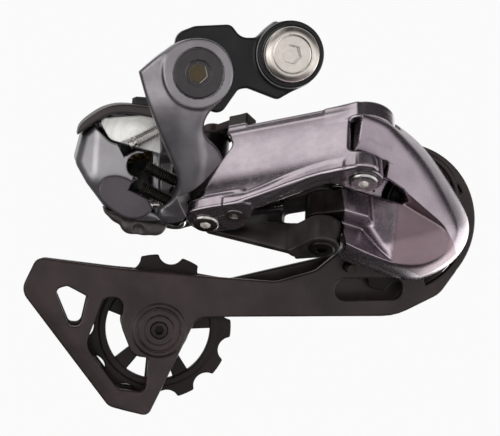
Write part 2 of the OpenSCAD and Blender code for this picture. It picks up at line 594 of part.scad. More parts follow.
module cage_axle() color("silver") union() {
    along_y(cage_pivot[0], cage_pivot[1], 5, -8.5, outer_plate_y - 0.3);
    along_y(cage_pivot[0], cage_pivot[1], 4, outer_plate_y - 0.4, outer_plate_y + cage_t - 0.1);
}
module cage_tension_spring() color([0.2, 0.2, 0.21])
    translate([cage_pivot[0], spring_pocket_y + 1, cage_pivot[1]]) rotate([-90, 0, 0])
    coil(8.6, 0.8, 3.25, 6.2, 20);
module cage_axle_seal() color([0.04, 0.04, 0.04]) difference() {
    along_y(cage_pivot[0], cage_pivot[1], 12.4, knuckle_back + 0.02, outer_plate_y - 0.04);
    along_y(cage_pivot[0], cage_pivot[1], 10.6, knuckle_back - 1, outer_plate_y + 1);
}

// ---- cage ----

module cage_arc_slots(y0, y1) for (a = [[-66, -28], [24, 60]])
    in_xz(y0, y1) polygon(concat(arc(guide, 21.6, a[0], a[1]), arc(guide, 16.2, a[1], a[0])));
module tail_windows(y0, y1) {
    in_xz(y0, y1) polygon(rounded([[-69.6, -70.4, 2], [-65.6, -69.4, 1.5], [-59.6, -72.8, 0.8],
        [-61.8, -82, 2], [-65.2, -81.6, 1.4]]));
    in_xz(y0, y1) polygon(rounded([[-54.8, -73.4, 2], [-48.4, -73, 3], [-49.6, -82, 5], [-46.2, -91.2, 4],
        [-41.3, -92, 1], [-42.4, -102.6, 2], [-50.6, -101.4, 3], [-60.4, -87.6, 5]]));
}
module cage_outer_plate() color([0.17, 0.13, 0.12]) difference() {
    union() {
        in_xz(outer_plate_y, outer_plate_y + cage_t) polygon(concat(
            arc(guide, arc_r, -40, 100, 22),
            rounded([[20, -58, 3], [10, -66, 6], [-2, -69.2, 8], [-26.2, -67, 0], [-51.3, -64.2, 0],
                [-74.6, -60.6, 3], [-79.6, -70.6, 5], [-53.6, -106.8, 4], [-41.6, -110, 2.4],
                [-26.6, -80, 4], [-16.4, -79.8, 0], [35, -80.6, 18], [49, -74, 8], [54, -67.2, 0]])));
        along_y(tension[0], tension[1], 8.2, outer_plate_y - 0.6, outer_plate_y + cage_t);
        along_y(tension[0], tension[1], 5.4, outer_plate_y + cage_t - 0.1, outer_plate_y + cage_t + 1);
        along_y(guide[0], guide[1], 5.4, outer_plate_y + cage_t - 0.1, outer_plate_y + cage_t + 1);
    }
    tail_windows(outer_plate_y - 1, outer_plate_y + cage_t + 1);
    cage_arc_slots(outer_plate_y - 1, outer_plate_y + cage_t + 1);
    in_xz(outer_plate_y - 1, outer_plate_y + cage_t + 1) polygon(concat(
        arc([19.4, -72], 3.3, 90, 270, 10), arc([34, -72], 3.3, -90, 90, 10)));
    // Broad bevel along the upper edge of the beam, and one down the rear edge
    translate([-84, outer_plate_y, -66.6]) rotate([0, 3.6, -0.5]) rotate([-bevel_tilt, 0, 0])
        translate([0, -3, 0]) cube([92, 3, 12]);
    translate([-76, outer_plate_y, -69]) rotate([0, 54.6, 0]) rotate([bevel_tilt * 1.6, 0, 0])
        translate([-14, -3, -12]) cube([66, 3, 12]);
    along_y(cage_pivot[0], cage_pivot[1], 4.02, outer_plate_y - 1, outer_plate_y + cage_t + 1);
    for (p = [guide, tension]) along_y(p[0], p[1], 2.52, outer_plate_y - 2, outer_plate_y + cage_t + 3);
    along_y(stop_at[0], stop_at[1], 1.52, outer_plate_y - 1, outer_plate_y + cage_t + 1);
}
module cage_inner_plate() color([0.17, 0.13, 0.12]) difference() {
    union() {
        in_xz(inner_plate_y, inner_plate_y + cage_t) polygon(concat(
            arc(guide, arc_r - 1, -40, 110, 22),
            rounded([[24, -50, 6], [14, -63, 6], [-16, -69.4, 6], [-26.2, -67.4, 0], [-51.3, -64.8, 0],
                [-74, -61.6, 3], [-78.4, -70.6, 5], [-53.6, -105.8, 4], [-42.2, -108.6, 2.4],
                [-27.2, -79.6, 4], [-16.4, -79, 0], [35, -79.6, 18], [48.6, -73.2, 8], [53.4, -66.6, 0]])));
        for (p = [guide, tension]) along_y(p[0], p[1], 5.4, inner_plate_y - 1, inner_plate_y + 0.1);
    }
    tail_windows(inner_plate_y - 1, inner_plate_y + cage_t + 1);
    in_xz(inner_plate_y - 1, inner_plate_y + cage_t + 1) polygon(concat(
        arc(guide, 18.6, -150, -10), arc(guide, 8.5, -10, -150)));
    in_xz(inner_plate_y - 1, inner_plate_y + cage_t + 1) polygon(concat(
        arc(guide, 18.6, 5, 85), arc(guide, 8.5, 85, 5)));
    for (p = [guide, tension]) along_y(p[0], p[1], 2.52, inner_plate_y - 2, inner_plate_y + cage_t + 1);
}
module cage_stop_pin() color("silver") union() {
    along_y(stop_at[0], stop_at[1], 1.5, outer_plate_y - 0.02, outer_plate_y + cage_t);
    along_y(stop_at[0], stop_at[1], 1.5, -1, outer_plate_y);
}
module pulley_bolt(at) difference() {
    union() {
        along_y(at[0], at[1], 2.5, outer_plate_y - 0.5, inner_plate_y + cage_t + 0.05);
        along_y(at[0], at[1], 4, inner_plate_y + cage_t + 0.02, inner_plate_y + cage_t + 1.8);
    }
    hex_socket(at[0], at[1], 3, inner_plate_y + cage_t, inner_plate_y + cage_t + 3);
    hex_socket(at[0], at[1], 2.4, outer_plate_y - 1, outer_plate_y + 1);
}
module guide_pulley_bolt() color([0.15, 0.12, 0.12]) pulley_bolt(guide);
module tension_pulley_bolt() color([0.15, 0.12, 0.12]) pulley_bolt(tension);
module pulley_bushing(at) difference() {
    along_y(at[0], at[1], bushing_r, outer_plate_y + cage_t + 1.02, inner_plate_y - 1.02);
    along_y(at[0], at[1], 2.53, outer_plate_y, inner_plate_y);
}
module guide_pulley_bushing() color("silver") pulley_bushing(guide);
module tension_pulley_bushing() color("silver") pulley_bushing(tension);

// Toothed pulley: flat tips and round seats for the chain's rollers
module pulley(at, phase) difference() {
    union() {
        translate([at[0], pulley_mid + tooth_w / 2, at[1]]) rotate([90, 0, 0]) linear_extrude(tooth_w) difference() {
            circle(r = pulley_tip_r, $fn = 96);
            for (i = [0:pulley_teeth - 1]) rotate(phase + (i + 0.5) * 360 / pulley_teeth)
                translate([pulley_tip_r + 1.05, 0]) circle(r = 3.9, $fn = 40);
        }
        along_y(at[0], at[1], 18, pulley_mid - 1.7, pulley_mid + 1.7);
        along_y(at[0], at[1], 8.2, pulley_mid - 2.3, pulley_mid + 2.3);
    }
    for (i = [0:4]) translate([at[0], 0, at[1]]) rotate([0, -(phase + 19 + 72 * i), 0])
        in_xz(0, 24) polygon(concat(arc([0, 0], 16, -27, 27), arc([0, 0], 9.6, 25, -25)));
    along_y(at[0], at[1], bushing_r + 0.05, 0, 24);
}
module guide_pulley() color([0.12, 0.1, 0.1]) pulley(guide, guide_phase);
module tension_pulley() color([0.12, 0.1, 0.1]) pulley(tension, tension_phase);
module pulley_caps(at) for (y = [[outer_plate_y + cage_t + 1.05, pulley_mid - 2.32], [pulley_mid + 2.32, inner_plate_y - 1.05]])
    difference() {
        along_y(at[0], at[1], cap_r - 0.8, y[0], y[1]);
        along_y(at[0], at[1], bushing_r + 0.05, 0, 24);
    }
module guide_pulley_caps() color([0.2, 0.17, 0.16]) pulley_caps(guide);
module tension_pulley_caps() color([0.2, 0.17, 0.16]) pulley_caps(tension);

hanger_link();
hanger_bolt();
bracket_axle_bolt();
axle_bushing();
axle_dust_ring();
b_knuckle();
motor_housing();
housing_rear_cover();
top_guard();
side_plate();
lower_cover();
cable_port_cover();
cable_plug();
drive_motor();
motor_pinion();
circuit_board();
cover_screws();
b_tension_screw();
high_limit_screw();
low_limit_screw();
outer_link();
outer_link_pin_b();
outer_link_pin_p();
outer_pin_clips();
stop_rivet();
inner_link();
inner_link_pin_b();
inner_link_pin_p();
drive_sector();
saver_spring();
p_knuckle();
cage_axle();
cage_tension_spring();
cage_axle_seal();
cage_outer_plate();
cage_inner_plate();
cage_stop_pin();
guide_pulley_bolt();
tension_pulley_bolt();
guide_pulley_bushing();
tension_pulley_bushing();
guide_pulley();
tension_pulley();
guide_pulley_caps();
tension_pulley_caps();
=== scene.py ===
"""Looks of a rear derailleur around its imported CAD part. Lengths in the shape code are millimetres."""
import functools
import json
import math

import bpy
import numpy as np
from mathutils import Matrix, Vector


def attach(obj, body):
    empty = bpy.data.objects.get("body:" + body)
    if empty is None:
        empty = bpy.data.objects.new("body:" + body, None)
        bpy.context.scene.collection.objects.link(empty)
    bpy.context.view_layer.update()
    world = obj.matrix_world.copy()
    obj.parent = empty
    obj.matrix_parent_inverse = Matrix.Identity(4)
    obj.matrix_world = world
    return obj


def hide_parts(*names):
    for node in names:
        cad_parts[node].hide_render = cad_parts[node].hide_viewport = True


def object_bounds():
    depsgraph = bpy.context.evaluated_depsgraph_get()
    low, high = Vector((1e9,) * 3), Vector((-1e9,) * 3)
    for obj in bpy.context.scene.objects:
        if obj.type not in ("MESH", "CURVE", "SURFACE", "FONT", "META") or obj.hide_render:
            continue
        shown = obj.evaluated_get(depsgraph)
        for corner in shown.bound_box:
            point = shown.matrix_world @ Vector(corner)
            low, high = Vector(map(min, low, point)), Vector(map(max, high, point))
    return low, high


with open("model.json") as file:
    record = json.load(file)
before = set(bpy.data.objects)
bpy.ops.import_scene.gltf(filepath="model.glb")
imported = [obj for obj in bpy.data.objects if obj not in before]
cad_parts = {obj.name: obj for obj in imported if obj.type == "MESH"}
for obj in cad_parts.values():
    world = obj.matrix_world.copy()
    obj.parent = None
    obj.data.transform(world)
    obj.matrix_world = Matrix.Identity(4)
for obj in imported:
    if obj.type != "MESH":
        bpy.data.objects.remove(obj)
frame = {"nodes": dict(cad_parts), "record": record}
cad_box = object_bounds()
MM = 0.001


# ---- the links' own frame: X along the links, Y inboard, Z along their pins ----

def turn(axis, degrees):
    return np.array(Matrix.Rotation(math.radians(degrees), 3, axis))


LINK_ORIGIN = np.array([-24.15, 2.0, -50.4])
LINK_TURN = turn("X", -38) @ turn("Y", 7.7) @ turn("Z", -27.85)
LINK_LENGTH = 50.0
PIN_B, PIN_P = (0, 0), (LINK_LENGTH, 0)


def in_links(x, y, z):
    """Row frame to links' frame, for arrays of any shape."""
    x, y, z = x - LINK_ORIGIN[0], y - LINK_ORIGIN[1], z - LINK_ORIGIN[2]
    r = LINK_TURN
    return (r[0, 0] * x + r[1, 0] * y + r[2, 0] * z, r[0, 1] * x + r[1, 1] * y + r[2, 1] * z,
            r[0, 2] * x + r[1, 2] * y + r[2, 2] * z)


# ---- shapes as distance fields: negative inside ----

both, either = np.maximum, np.minimum


def soft_max(a, b, k):
    """The space in both, its edge rounded over about k."""
    return np.maximum(a, b) + np.maximum(k - np.abs(a - b), 0) ** 2 / (4 * k)


def soft_min(a, b, k):
    """The space in either, its inner corner filled over about k."""
    return np.minimum(a, b) - np.maximum(k - np.abs(a - b), 0) ** 2 / (4 * k)


def cut(d, *parts):
    """d without the space where all the parts overlap."""
    return np.maximum(d, -functools.reduce(np.maximum, parts))


def outline(u, v, points):
    """Distance to a closed polygon in the u, v plane."""
    nearest = np.full(np.broadcast(u, v).shape, 1e9, dtype=np.float32)
    inside = np.zeros(nearest.shape, dtype=bool)
    for (au, av), (bu, bv) in zip(points, points[1:] + points[:1]):
        eu, ev = bu - au, bv - av
        wu, wv = u - au, v - av
        t = np.clip((wu * eu + wv * ev) / (eu * eu + ev * ev), 0, 1)
        nearest = np.minimum(nearest, (wu - eu * t) ** 2 + (wv - ev * t) ** 2)
        cross = ((v >= av) != (v >= bv)) & ((eu * wv - ev * wu > 0) == (bv > av))
        inside ^= cross
    return np.where(inside, -1, 1) * np.sqrt(nearest)


def curved(points, rounds=3):
    """Corner cutting: a smooth closed line through the sides of a polygon. A third value 1 keeps that corner."""
    pts = [(p[0], p[1], p[2] if len(p) > 2 else 0) for p in points]
    for _ in range(rounds):
        new = []
        for i, p in enumerate(pts):
            q, n = pts[i - 1], pts[(i + 1) % len(pts)]
            if p[2]:
                new.append(p)
            else:
                new.append((p[0] * .75 + q[0] * .25, p[1] * .75 + q[1] * .25, 0))
                new.append((p[0] * .75 + n[0] * .25, p[1] * .75 + n[1] * .25, 0))
        pts = new
    return [(p[0], p[1]) for p in pts]


def rounded(points):
    """A polygon whose corners are arcs; a corner is (u, v, radius)."""
    out = []
    for i, (bu, bv, r) in enumerate(points):
        b = np.array((bu, bv), float)
        a, c = (np.array(points[j][:2], float) for j in (i - 1, (i + 1) % len(points)))
        if not r:
            out.append((bu, bv))
            continue
        p, q = (a - b) / np.linalg.norm(a - b), (c - b) / np.linalg.norm(c - b)
        half = math.acos(max(-1, min(1, float(p @ q)))) / 2
        if half > 1.55:
            out.append((bu, bv))
            continue
        centre = b + (p + q) / np.linalg.norm(p + q) * r / math.sin(half)
        start, end = (b + w * r / math.tan(half) - centre for w in (p, q))
        s, f = math.atan2(start[1], start[0]), math.atan2(end[1], end[0])
        turned_by = (f - s + math.pi) % (2 * math.pi) - math.pi
        n = max(2, math.ceil(abs(turned_by) / 0.2))
        out += [(centre[0] + r * math.cos(s + turned_by * k / n), centre[1] + r * math.sin(s + turned_by * k / n))
                for k in range(n + 1)]
    return out


def arc(centre, r, start, end, n=14):
    return [(centre[0] + r * math.cos(math.radians(start + (end - start) * k / n)),
             centre[1] + r * math.sin(math.radians(start + (end - start) * k / n))) for k in range(n + 1)]


def between(t, low, high):
    """Distance to a slab along one axis."""
    return np.abs(t - (low + high) / 2) - (high - low) / 2


def joined(d, shape, t, low, high, edge, fillet):
    """d with the shape added between low and high along t, its edges rounded and its foot filleted."""
    return soft_min(d, soft_max(shape, between(t, low, high), edge), fillet)


def disc(u, v, centre, r):
    return np.sqrt((u - centre[0]) ** 2 + (v - centre[1]) ** 2) - r


def ball(x, y, z, centre, r):
    return np.sqrt((x - centre[0]) ** 2 + (y - centre[1]) ** 2 + (z - centre[2]) ** 2) - r


def hexagon(u, v, centre, flat, phase=0.0):
    u, v = u - centre[0], v - centre[1]
    d = None
    for k in range(3):
        a = phase + k * math.pi / 3
        w = np.abs(u * math.cos(a) + v * math.sin(a)) - flat
        d = w if d is None else np.maximum(d, w)
    return d


def plane(x, y, z, through, normal):
    n = np.array(normal, float) / np.linalg.norm(normal)
    return (x - through[0]) * n[0] + (y - through[1]) * n[1] + (z - through[2]) * n[2]


def ease(t):
    t = np.clip(t, 0, 1)
    return t * t * (3 - 2 * t)


def bend(t, at, value, reach=4.0):
    """A line through the points, its corners eased over the reach."""
    return sum(np.interp(t + reach * k, at, value) for k in (-0.5, -0.3, -0.1, 0.1, 0.3, 0.5)) / 6


def skin(name, field, low, high, step, placed=None):
    """A mesh over the zero level of field(x, y, z) in the box low..high, its vertices pulled onto that level."""
    axes = [np.arange(a, b + step, step, dtype=np.float32) for a, b in zip(low, high)]
    shape = tuple(len(a) for a in axes)
    value = np.broadcast_to(field(axes[0][:, None, None], axes[1][None, :, None], axes[2][None, None, :]),
                            shape).astype(np.float32)
    inside = value < 0
    cells = tuple(n - 1 for n in shape)
    part = lambda a, o: a[o[0]:o[0] + cells[0], o[1]:o[1] + cells[1], o[2]:o[2] + cells[2]]
    corners = [(i, j, k) for i in (0, 1) for j in (0, 1) for k in (0, 1)]
    count = sum(part(inside, c).astype(np.int8) for c in corners)
    at = np.argwhere((count > 0) & (count < 8))
    number = np.full(cells, -1, dtype=np.int64)
    number[tuple(at.T)] = np.arange(len(at))
    total, hits = np.zeros((len(at), 3)), np.zeros(len(at))
    for a in corners:
        for d in range(3):
            if a[d]:
                continue
            b = list(a)
            b[d] = 1
            va, vb = value[tuple((at + a).T)], value[tuple((at + b).T)]
            crossed = (va < 0) != (vb < 0)
            t = np.where(crossed, va / np.where(crossed, va - vb, 1), 0)
            p = np.tile(np.array(a, float), (len(at), 1))
            p[:, d] = t
            total += p * crossed[:, None]
            hits += crossed
    points = (at + total / hits[:, None]) * step + np.array([a[0] for a in axes])
    faces = []
    for d in range(3):
        e, f = [(1, 2), (2, 0), (0, 1)][d]
        s0 = [slice(1, -1)] * 3
        s0[d] = slice(0, -1)
        s1 = list(s0)
        s1[d] = slice(1, None)
        change = np.argwhere(inside[tuple(s0)] != inside[tuple(s1)])
        base = change + np.array([0 if i == d else 1 for i in range(3)])
        de, df = np.eye(3, dtype=int)[e], np.eye(3, dtype=int)[f]
        quad = np.stack([number[tuple((base - de - df).T)], number[tuple((base - df).T)],
                         number[tuple(base.T)], number[tuple((base - de).T)]], 1)
        out = inside[tuple(base.T)]
        faces.append(np.where(out[:, None], quad, quad[:, ::-1]))
    faces = np.concatenate(faces)
    start = points.copy()
    small = 0.03

    def slope(p):
        x, y, z = p.T
        ahead = field(x + small, y, z), field(x, y + small, z), field(x, y, z + small)
        behind = field(x - small, y, z), field(x, y - small, z), field(x, y, z - small)
        return np.stack([a - b for a, b in zip(ahead, behind)], 1) / (2 * small)

    for _ in range(3):
        g = slope(points)
        x, y, z = points.T
        move = -field(x, y, z)[:, None] * g / np.maximum((g * g).sum(1), 0.05)[:, None]
        points = start + np.clip(points + move - start, -step * .6, step * .6)
    g = slope(points)
    normals = g / np.maximum(np.linalg.norm(g, axis=1), 1e-9)[:, None]
    if placed is not None:
        points, normals = points @ placed[0].T + placed[1], normals @ placed[0].T
    return make(name, points, faces, normals)


def make(name, points, faces, normals=None):
    mesh = bpy.data.meshes.new(name)
    mesh.from_pydata((np.asarray(points) * MM).tolist(), [], [list(map(int, f)) for f in faces])
    mesh.update()
    mesh.polygons.foreach_set("use_smooth", [True] * len(mesh.polygons))
    if normals is not None:
        mesh.normals_split_custom_set_from_vertices(normals.tolist())
    piece = bpy.data.objects.new(name, mesh)
    bpy.context.scene.collection.objects.link(piece)
    return piece


# ---- the castings ----

PIN_R, PIN_GAP = 2.5, 0.12
INNER_PIN = (-16.2, 9.9)
INNER_PIN_P = (33.8, 9.9)
GEAR_SPACING, PINION_ANGLE = 14.5, math.radians(250)
PINION_AT = (INNER_PIN[0] + GEAR_SPACING * math.cos(PINION_ANGLE),
             INNER_PIN[1] + GEAR_SPACING * math.sin(PINION_ANGLE))
AXLE = (-27.8, -5.4)
CAGE_PIVOT = (39.4, -44.6)

# The outer link's face, along the links and along their pins
FACE = rounded([(-2.8, -1.6, 3), (10.5, 21, 2.5), (8.2, 27.8, 1.5), (26.2, 28.8, 0), (60, 28.8, 2),
                (60, 22.8, 0.5), (48.1, 22.8, 1.5), (48.1, 10.9, 1.8), (55.4, 9.6, 2), (55.8, 4.9, 1),
                (46, 5.6, 3), (34.9, 4.6, 0), (21.4, 0.9, 8), (12, 0.1, 4), (1.6, -0.6, 2)])


def outer_link_field(e, m, u):
    # The crowned face, wrapped round the pin at one end; it rolls in below and has a chamfer above
    straight = e < LINK_LENGTH
    wrap = np.where(straight, -8.4 - m, disc(e, m, (LINK_LENGTH, 0.6), 9)) + (u - 15) ** 2 / 124
    wrap = wrap + np.maximum(11 - u, 0) ** 2 / 70 * ease((LINK_LENGTH - e) / 12)
    wrap = wrap + 0.42 * soft_max(u - 25.9, 0, 0.6)
    side = outline(e, u, FACE)
    edge = 0.9 + 2.2 * ease((7 - u) / 7) * ease((20 - e) / 12)
    d = soft_max(side, wrap, edge)
    d = cut(d, wrap + 1.7)
    d = soft_max(d, np.where(straight, -9, m - 2.2), 0.6)
    # The lower flange, then the ears of the pins and the web between the upper ones
    arch = bend(e, [-3, 10, 14, 22, 28.6, 36.8, 42, 60], [0, 0, 0.1, 1.6, 3.2, 4.7, 5.2, 4.9])
    flange = soft_max(np.abs(u - arch - 1.3) - 1.25, between(m, -7.6, -1.4), 1.0)
    d = joined(d, flange, e, 9, 46, 0.6, 1.4)
    ear = outline(e, m, curved([(-5.4, 3), (-5, -5.5), (0, -8), (17, -7), (16, -1), (9.6, 7.2), (1, 5.4)]))
    d = joined(d, ear, u, 0, 4.2, 0.9, 1.2)
    ear = outline(e, m, [(40.5, -7), (40.5, -2), (45, 2.6), (50, 5.7), (50, -7.6)])
    ear = either(disc(e, m, PIN_P, 5.7), ear)
    d = joined(d, ear, u, 4.9, 11.4, 0.8, 0.8)
    ear = soft_min(disc(e, m, (50, 0.6), 8.5), outline(e, m, [(40, -7), (43, 3.5), (49, 7.4), (50, -7.6)]), 2)
    d = soft_min(d, soft_max(soft_max(ear, between(u, 22.8, 28.6), 1.2), m - 7.4, 1), 1.2)
    top = outline(e, m, [(8.6, -7), (9, -2.4), (20, -1.4), (44, -1.4), (50, -7)])
    d = joined(d, top, u, 26, 28.6, 0.7, 1.2)
    post = outline(e, m, [(8.2, -6.8), (8.4, -2.4), (15, -2), (14, -6.8)])
    d = joined(d, post, u, 26, 33.4, 0.7, 0.8)
    ear = either(disc(e, m, PIN_B, 4.8), outline(e, m, [(14, -6.4), (15, -2), (2, 4.4), (-4, -2.6)]))
    d = joined(d, ear, u, 30.5, 33.5, 0.7, 0.8)
    # Bores and head seats of the pins, room for the knuckle's barrel, and the rivet's hole
    for c, seat in ((PIN_B, 0.0), (PIN_P, 4.9)):
        d = cut(d, disc(e, m, c, PIN_R + 0.05))
        d = soft_max(d, -both(disc(e, m, c, 4.55), u - seat + 0.02), 0.3)
    d = cut(d, disc(e, m, PIN_B, 5.5), between(u, 4.25, 30.4))
    return cut(d, disc(e, m, (10.1, -1.6), 2.02), u - 6)


# The cage knuckle seen along Y: its front and back edges, the hollow, and what the links leave free
FRONT = curved([(8, -14), (27, -18.6), (31.6, -24.5), (37, -31.5), (41.6, -39.5), (45.8, -47.6),
                (47.6, -53.2), (45.2, -58.6), (39.4, -61.6), (32, -61.8), (22, -59.4), (12.5, -54.8), (10.5, -48),
                (8, -40), (8, -30)])
BACK = curved([(14, -15), (30.6, -19), (38.6, -24.6), (43.4, -29.6), (47.4, -34.8), (51.8, -41.4), (55, -47),
               (56.6, -51.4), (55.8, -57.4), (51.6, -63), (45.5, -67), (37.3, -69.4), (25.4, -65), (16, -62.2),
               (15, -52), (14, -42), (14, -30)])
BOWL = curved([(24.5, -34.2, 1), (33.2, -39.7), (39.8, -45.5), (44.8, -49.7), (47.4, -53.8, 1), (51, -60, 1),
               (40, -67, 1), (30, -61.6, 1), (21.9, -58, 1), (13, -53.9, 1), (2, -50, 1), (2, -33, 1)])
RIBBON_CUT = [(-5, -10), (20.3, -17.0), (18.6, -27.6), (28.2, -30.8), (27.2, -36.0), (32.6, -39.6), (34.6, -43.2),
              (33.2, -43.9), (25, -41.9), (17.8, -39.6), (8, -38), (-5, -38)]


def link_swing_room(e, m, u):
    """Where the outer link, its pin and its lips pass as the cage knuckle swings."""
    d = both(disc(e, m, PIN_P, 6.45), u - 11.55)
    d = either(d, both(disc(e, m, PIN_P, 10.25), 22.65 - u))
    block = outline(e, m, [(48, -14), (46, -4.5), (40, 0), (0, 4), (0, -40), (40, -40)])
    d = either(d, both(block, between(u, -2, 58)))
    wedge = both(disc(e, m, PIN_P, 10.05), between(u, 3, 11.55))
    for normal in ((0.174, 0.985, 0), (0.5, 0.87, 0)):
        wedge = both(wedge, plane(e, m, u, (*PIN_P, 0), normal))
    return either(d, wedge)


def bowl_facet(x, z):
    """Distance to the side of the cage knuckle's hollow where its facet begins; negative on the flat floor."""
    return plane(x, 0, z, (31.6, 0, -43.6), (-0.987, 0, 0.16))


def p_knuckle_field(x, y, z):
    e, m, u = in_links(x, y, z)
    t = np.clip((y + 16) / 17, 0, 1)
    t = 1 - (1 - t) ** 1.7
    d = outline(x, z, FRONT) * (1 - t) + outline(x, z, BACK) * t
    cap = -16 + np.clip((z + 50) / 31, 0, 1) * 1.4 + np.maximum(x - 34 - (z + 50) * -0.6, 0) ** 2 * 0.004
    d = soft_max(d, cap - y, 2.6)
    d = soft_max(d, y - 5.5, 1.5)
    # The hollow under the ribbon: its floor rises to the rim, with a facet and a steeper fall towards the links
    floor = soft_max(-15.1, -15.3 + 0.40 * plane(x, 0, z, (47, 0, -52), (-0.234, 0, 0.972)), 0.5)
    fall = plane(x, 0, z, (17.8, 0, -41), (-0.86, 0, -0.51))
    floor = floor + 0.45 * soft_max(bowl_facet(x, z), 0, 1.2) + 0.9 * soft_max(fall, 0, 1.0)
    bowl = soft_max(outline(x, z, BOWL) + 0.6 * (y + 16), y - either(floor, -4.6), 0.8)
    d = soft_max(d, -bowl, 0.35)
    d = soft_max(d, -both(outline(x, z, RIBBON_CUT), y + 3), 0.8)
    d = cut(d, link_swing_room(e, m, u))
    room = both(disc(e, m, INNER_PIN_P, 6.3), -between(u, -0.3, 8))
    arm_room = outline(e, m, [(28.2, 4), (28.2, 30), (0, 30), (0, 4)])
    d = cut(d, either(room, arm_room))
    # The pins' barrels with what joins them to the casting, then the seat of the cage's axle and the bores
    long, short = between(u, 11.65, 22.5), between(u, -0.25, 7.95)
    barrel = soft_max(disc(e, m, PIN_P, 5.4), long, 0.5)
    block = soft_max(outline(e, m, [(52, -5), (58, 0), (59, 12), (50, 10), (47, 4.5)]), long, 0.5)
    boss = soft_max(disc(e, m, INNER_PIN_P, 5.4), short, 0.6)
    arm = [(0, -5.3), (8.8, -4.2), (14, 1), (14, 8), (0, 5.3)]
    arm = soft_max(outline(e, m, [(INNER_PIN_P[0] + a, INNER_PIN_P[1] + b) for a, b in arm]), short, 0.8)
    d = soft_min(d, soft_max(either(barrel, block), cap - y, 0.4), 1.0)
    d = soft_min(d, soft_min(boss, arm, 0.5), 1.2)
    d = cut(d, disc(x, z, CAGE_PIVOT, 11), -3 - y)
    d = cut(d, disc(x, z, CAGE_PIVOT, 5.08), -9 - y)
    d = cut(d, disc(e, m, PIN_P, PIN_R + PIN_GAP))
    return cut(d, disc(e, m, INNER_PIN_P, PIN_R + PIN_GAP))


ARM = curved([(-32, 4.4), (-39, 0), (-44.6, -4.9, 1), (-42.3, -13.6), (-38.2, -23.9), (-34.8, -31), (-32.4, -37.2),
              (-33.6, -42.2), (-38.9, -46.2), (-37.4, -50.2), (-31.5, -51.6), (-28.0, -49.4), (-26.2, -43.5),
              (-22.2, -38.6), (-18.4, -33), (-21.2, -27.2), (-26.0, -23.4), (-25.9, -18.4), (-21.5, -13.4),
              (-18.0, -8.0), (-20, 3)])
KNUCKLE_FLANGE = curved([(-2.2, -20.6), (24, -19.8), (24, -46), (6, -50), (-1, -49), (-1, -45.5), (9, -42.6),
                         (9, -30.6), (-1, -29), (-2.2, -27)], 2)


def sector_room(e, m, u):
    """Where the drive's sector and the wide end of its pinion turn."""
    return either(both(disc(e, m, INNER_PIN, 11.2), between(u, 22.6, 27)),
                      both(disc(e, m, PINION_AT, 6.1), between(u, 22.6, 27.3)))


def b_knuckle_field(x, y, z):
    e, m, u = in_links(x, y, z)
    # How far out the arm's front lies at each height, and where its side facets begin
    base = bend(z, [-53, -50, -46, -40, -34, -28, -22, -17, -13, 6],
                [0.4, -1.2, -3.6, -6.8, -9.4, -11.6, -13.8, -15.3, -16, -16])
    rim = bend(z, [-50, -38.6, -31, -20.8, -14, -8.9, -2.6, 4],
               [-32.2, -32.4, -32.5, -33.1, -33.9, -34.7, -37.2, -40])
    right = bend(z, [-50, -40, -31, -22, -14, -8], [-28.5, -27.6, -26.2, -27.6, -24.6, -20])
    front = base - y
    front = soft_max(front, (base + (rim - x) * 0.4 - y) * 0.93, 0.6)
    front = soft_max(front, (base + (x - right) * 0.8 - y) * 0.78, 1.6)
    back = y - np.interp(z, [-53, -41, -21, 6], [12, 12, -6, -6])
    arm = soft_max(outline(x, z, ARM), front, 1.1)
    arm = soft_max(arm, back, 0.8)
    lean = math.radians(14)
    side = (x + 37.4) * math.cos(lean) - z * math.sin(lean)
    arm = soft_max(arm, either((y + 8.4 - 1.375 * side) * 0.59, y + 8.4 + 0.067 * side), 0.5)
    ring = soft_max(disc(x, z, AXLE, 10), between(y, -16, -6), 0.8)
    d = soft_min(arm, ring, 1.2)
    flange = outline(y, z, KNUCKLE_FLANGE)
    d = joined(d, flange, x, -37.5, -33.6, 0.8, 1.5)
    short = between(u, 13.25, 19.95)
    barrel = soft_max(disc(e, m, PIN_B, 5.15), between(u, 4.45, 30.25), 0.6)
    barrel = either(barrel, soft_max(disc(e, m, INNER_PIN, 5.3), short, 0.6))
    rib = both(outline(e, m, [(1.5, 3.4), (-2, -4.2), (-18.1, 6.5), (-13.6, 12.4)]), short)
    rib2 = both(outline(e, m, [(0, -4.9), (-4, 4), (-14, 1.5), (-13, -3.5)]), between(u, 4.45, 20.4))
    d = soft_min(d, either(barrel, soft_min(rib, rib2, 1)), 1.6)
    # Room for both links, the sector and the pinion
    room = either(sector_room(e, m, u), both(disc(e, m, PIN_B, 7.85), u - 4.4))
    below = outline(e, m, [(-3, -5.3), (-3, -14), (40, -14), (40, -3.5), (8, -5.3)])
    room = either(room, both(below, -6 - u))
    room = either(room, both(disc(e, m, INNER_PIN, 6.75), -between(u, 13.2, 20)))
    room = either(room, both(disc(e, m, PINION_AT, 4.8), between(u, 10, 23)))
    d = soft_max(d, -room, 0.3)
    d = cut(d, disc(x, z, AXLE, 6.0))
    d = cut(d, disc(x, z, AXLE, 7.4), y + 14.5)
    for at, tilt in SCREWS:
        d = cut(d, screw_hole(x, y, z, at, tilt, 2.1))
    d = cut(d, disc(e, m, PIN_B, PIN_R + PIN_GAP))
    return cut(d, disc(e, m, INNER_PIN, PIN_R + PIN_GAP))


SCREWS = [((-46.8, 4, -26.9), -26), ((-42, 1.6, -33.2), 27), ((-43.6, 1.6, -39.3), 27)]


def screw_hole(x, y, z, at, tilt, r):
    a = math.radians(tilt)
    along = (x - at[0]) * math.cos(a) - (z - at[2]) * math.sin(a)
    across = (x - at[0]) * math.sin(a) + (z - at[2]) * math.cos(a)
    return both(np.sqrt(across ** 2 + (y - at[1]) ** 2) - r, -3 - along)


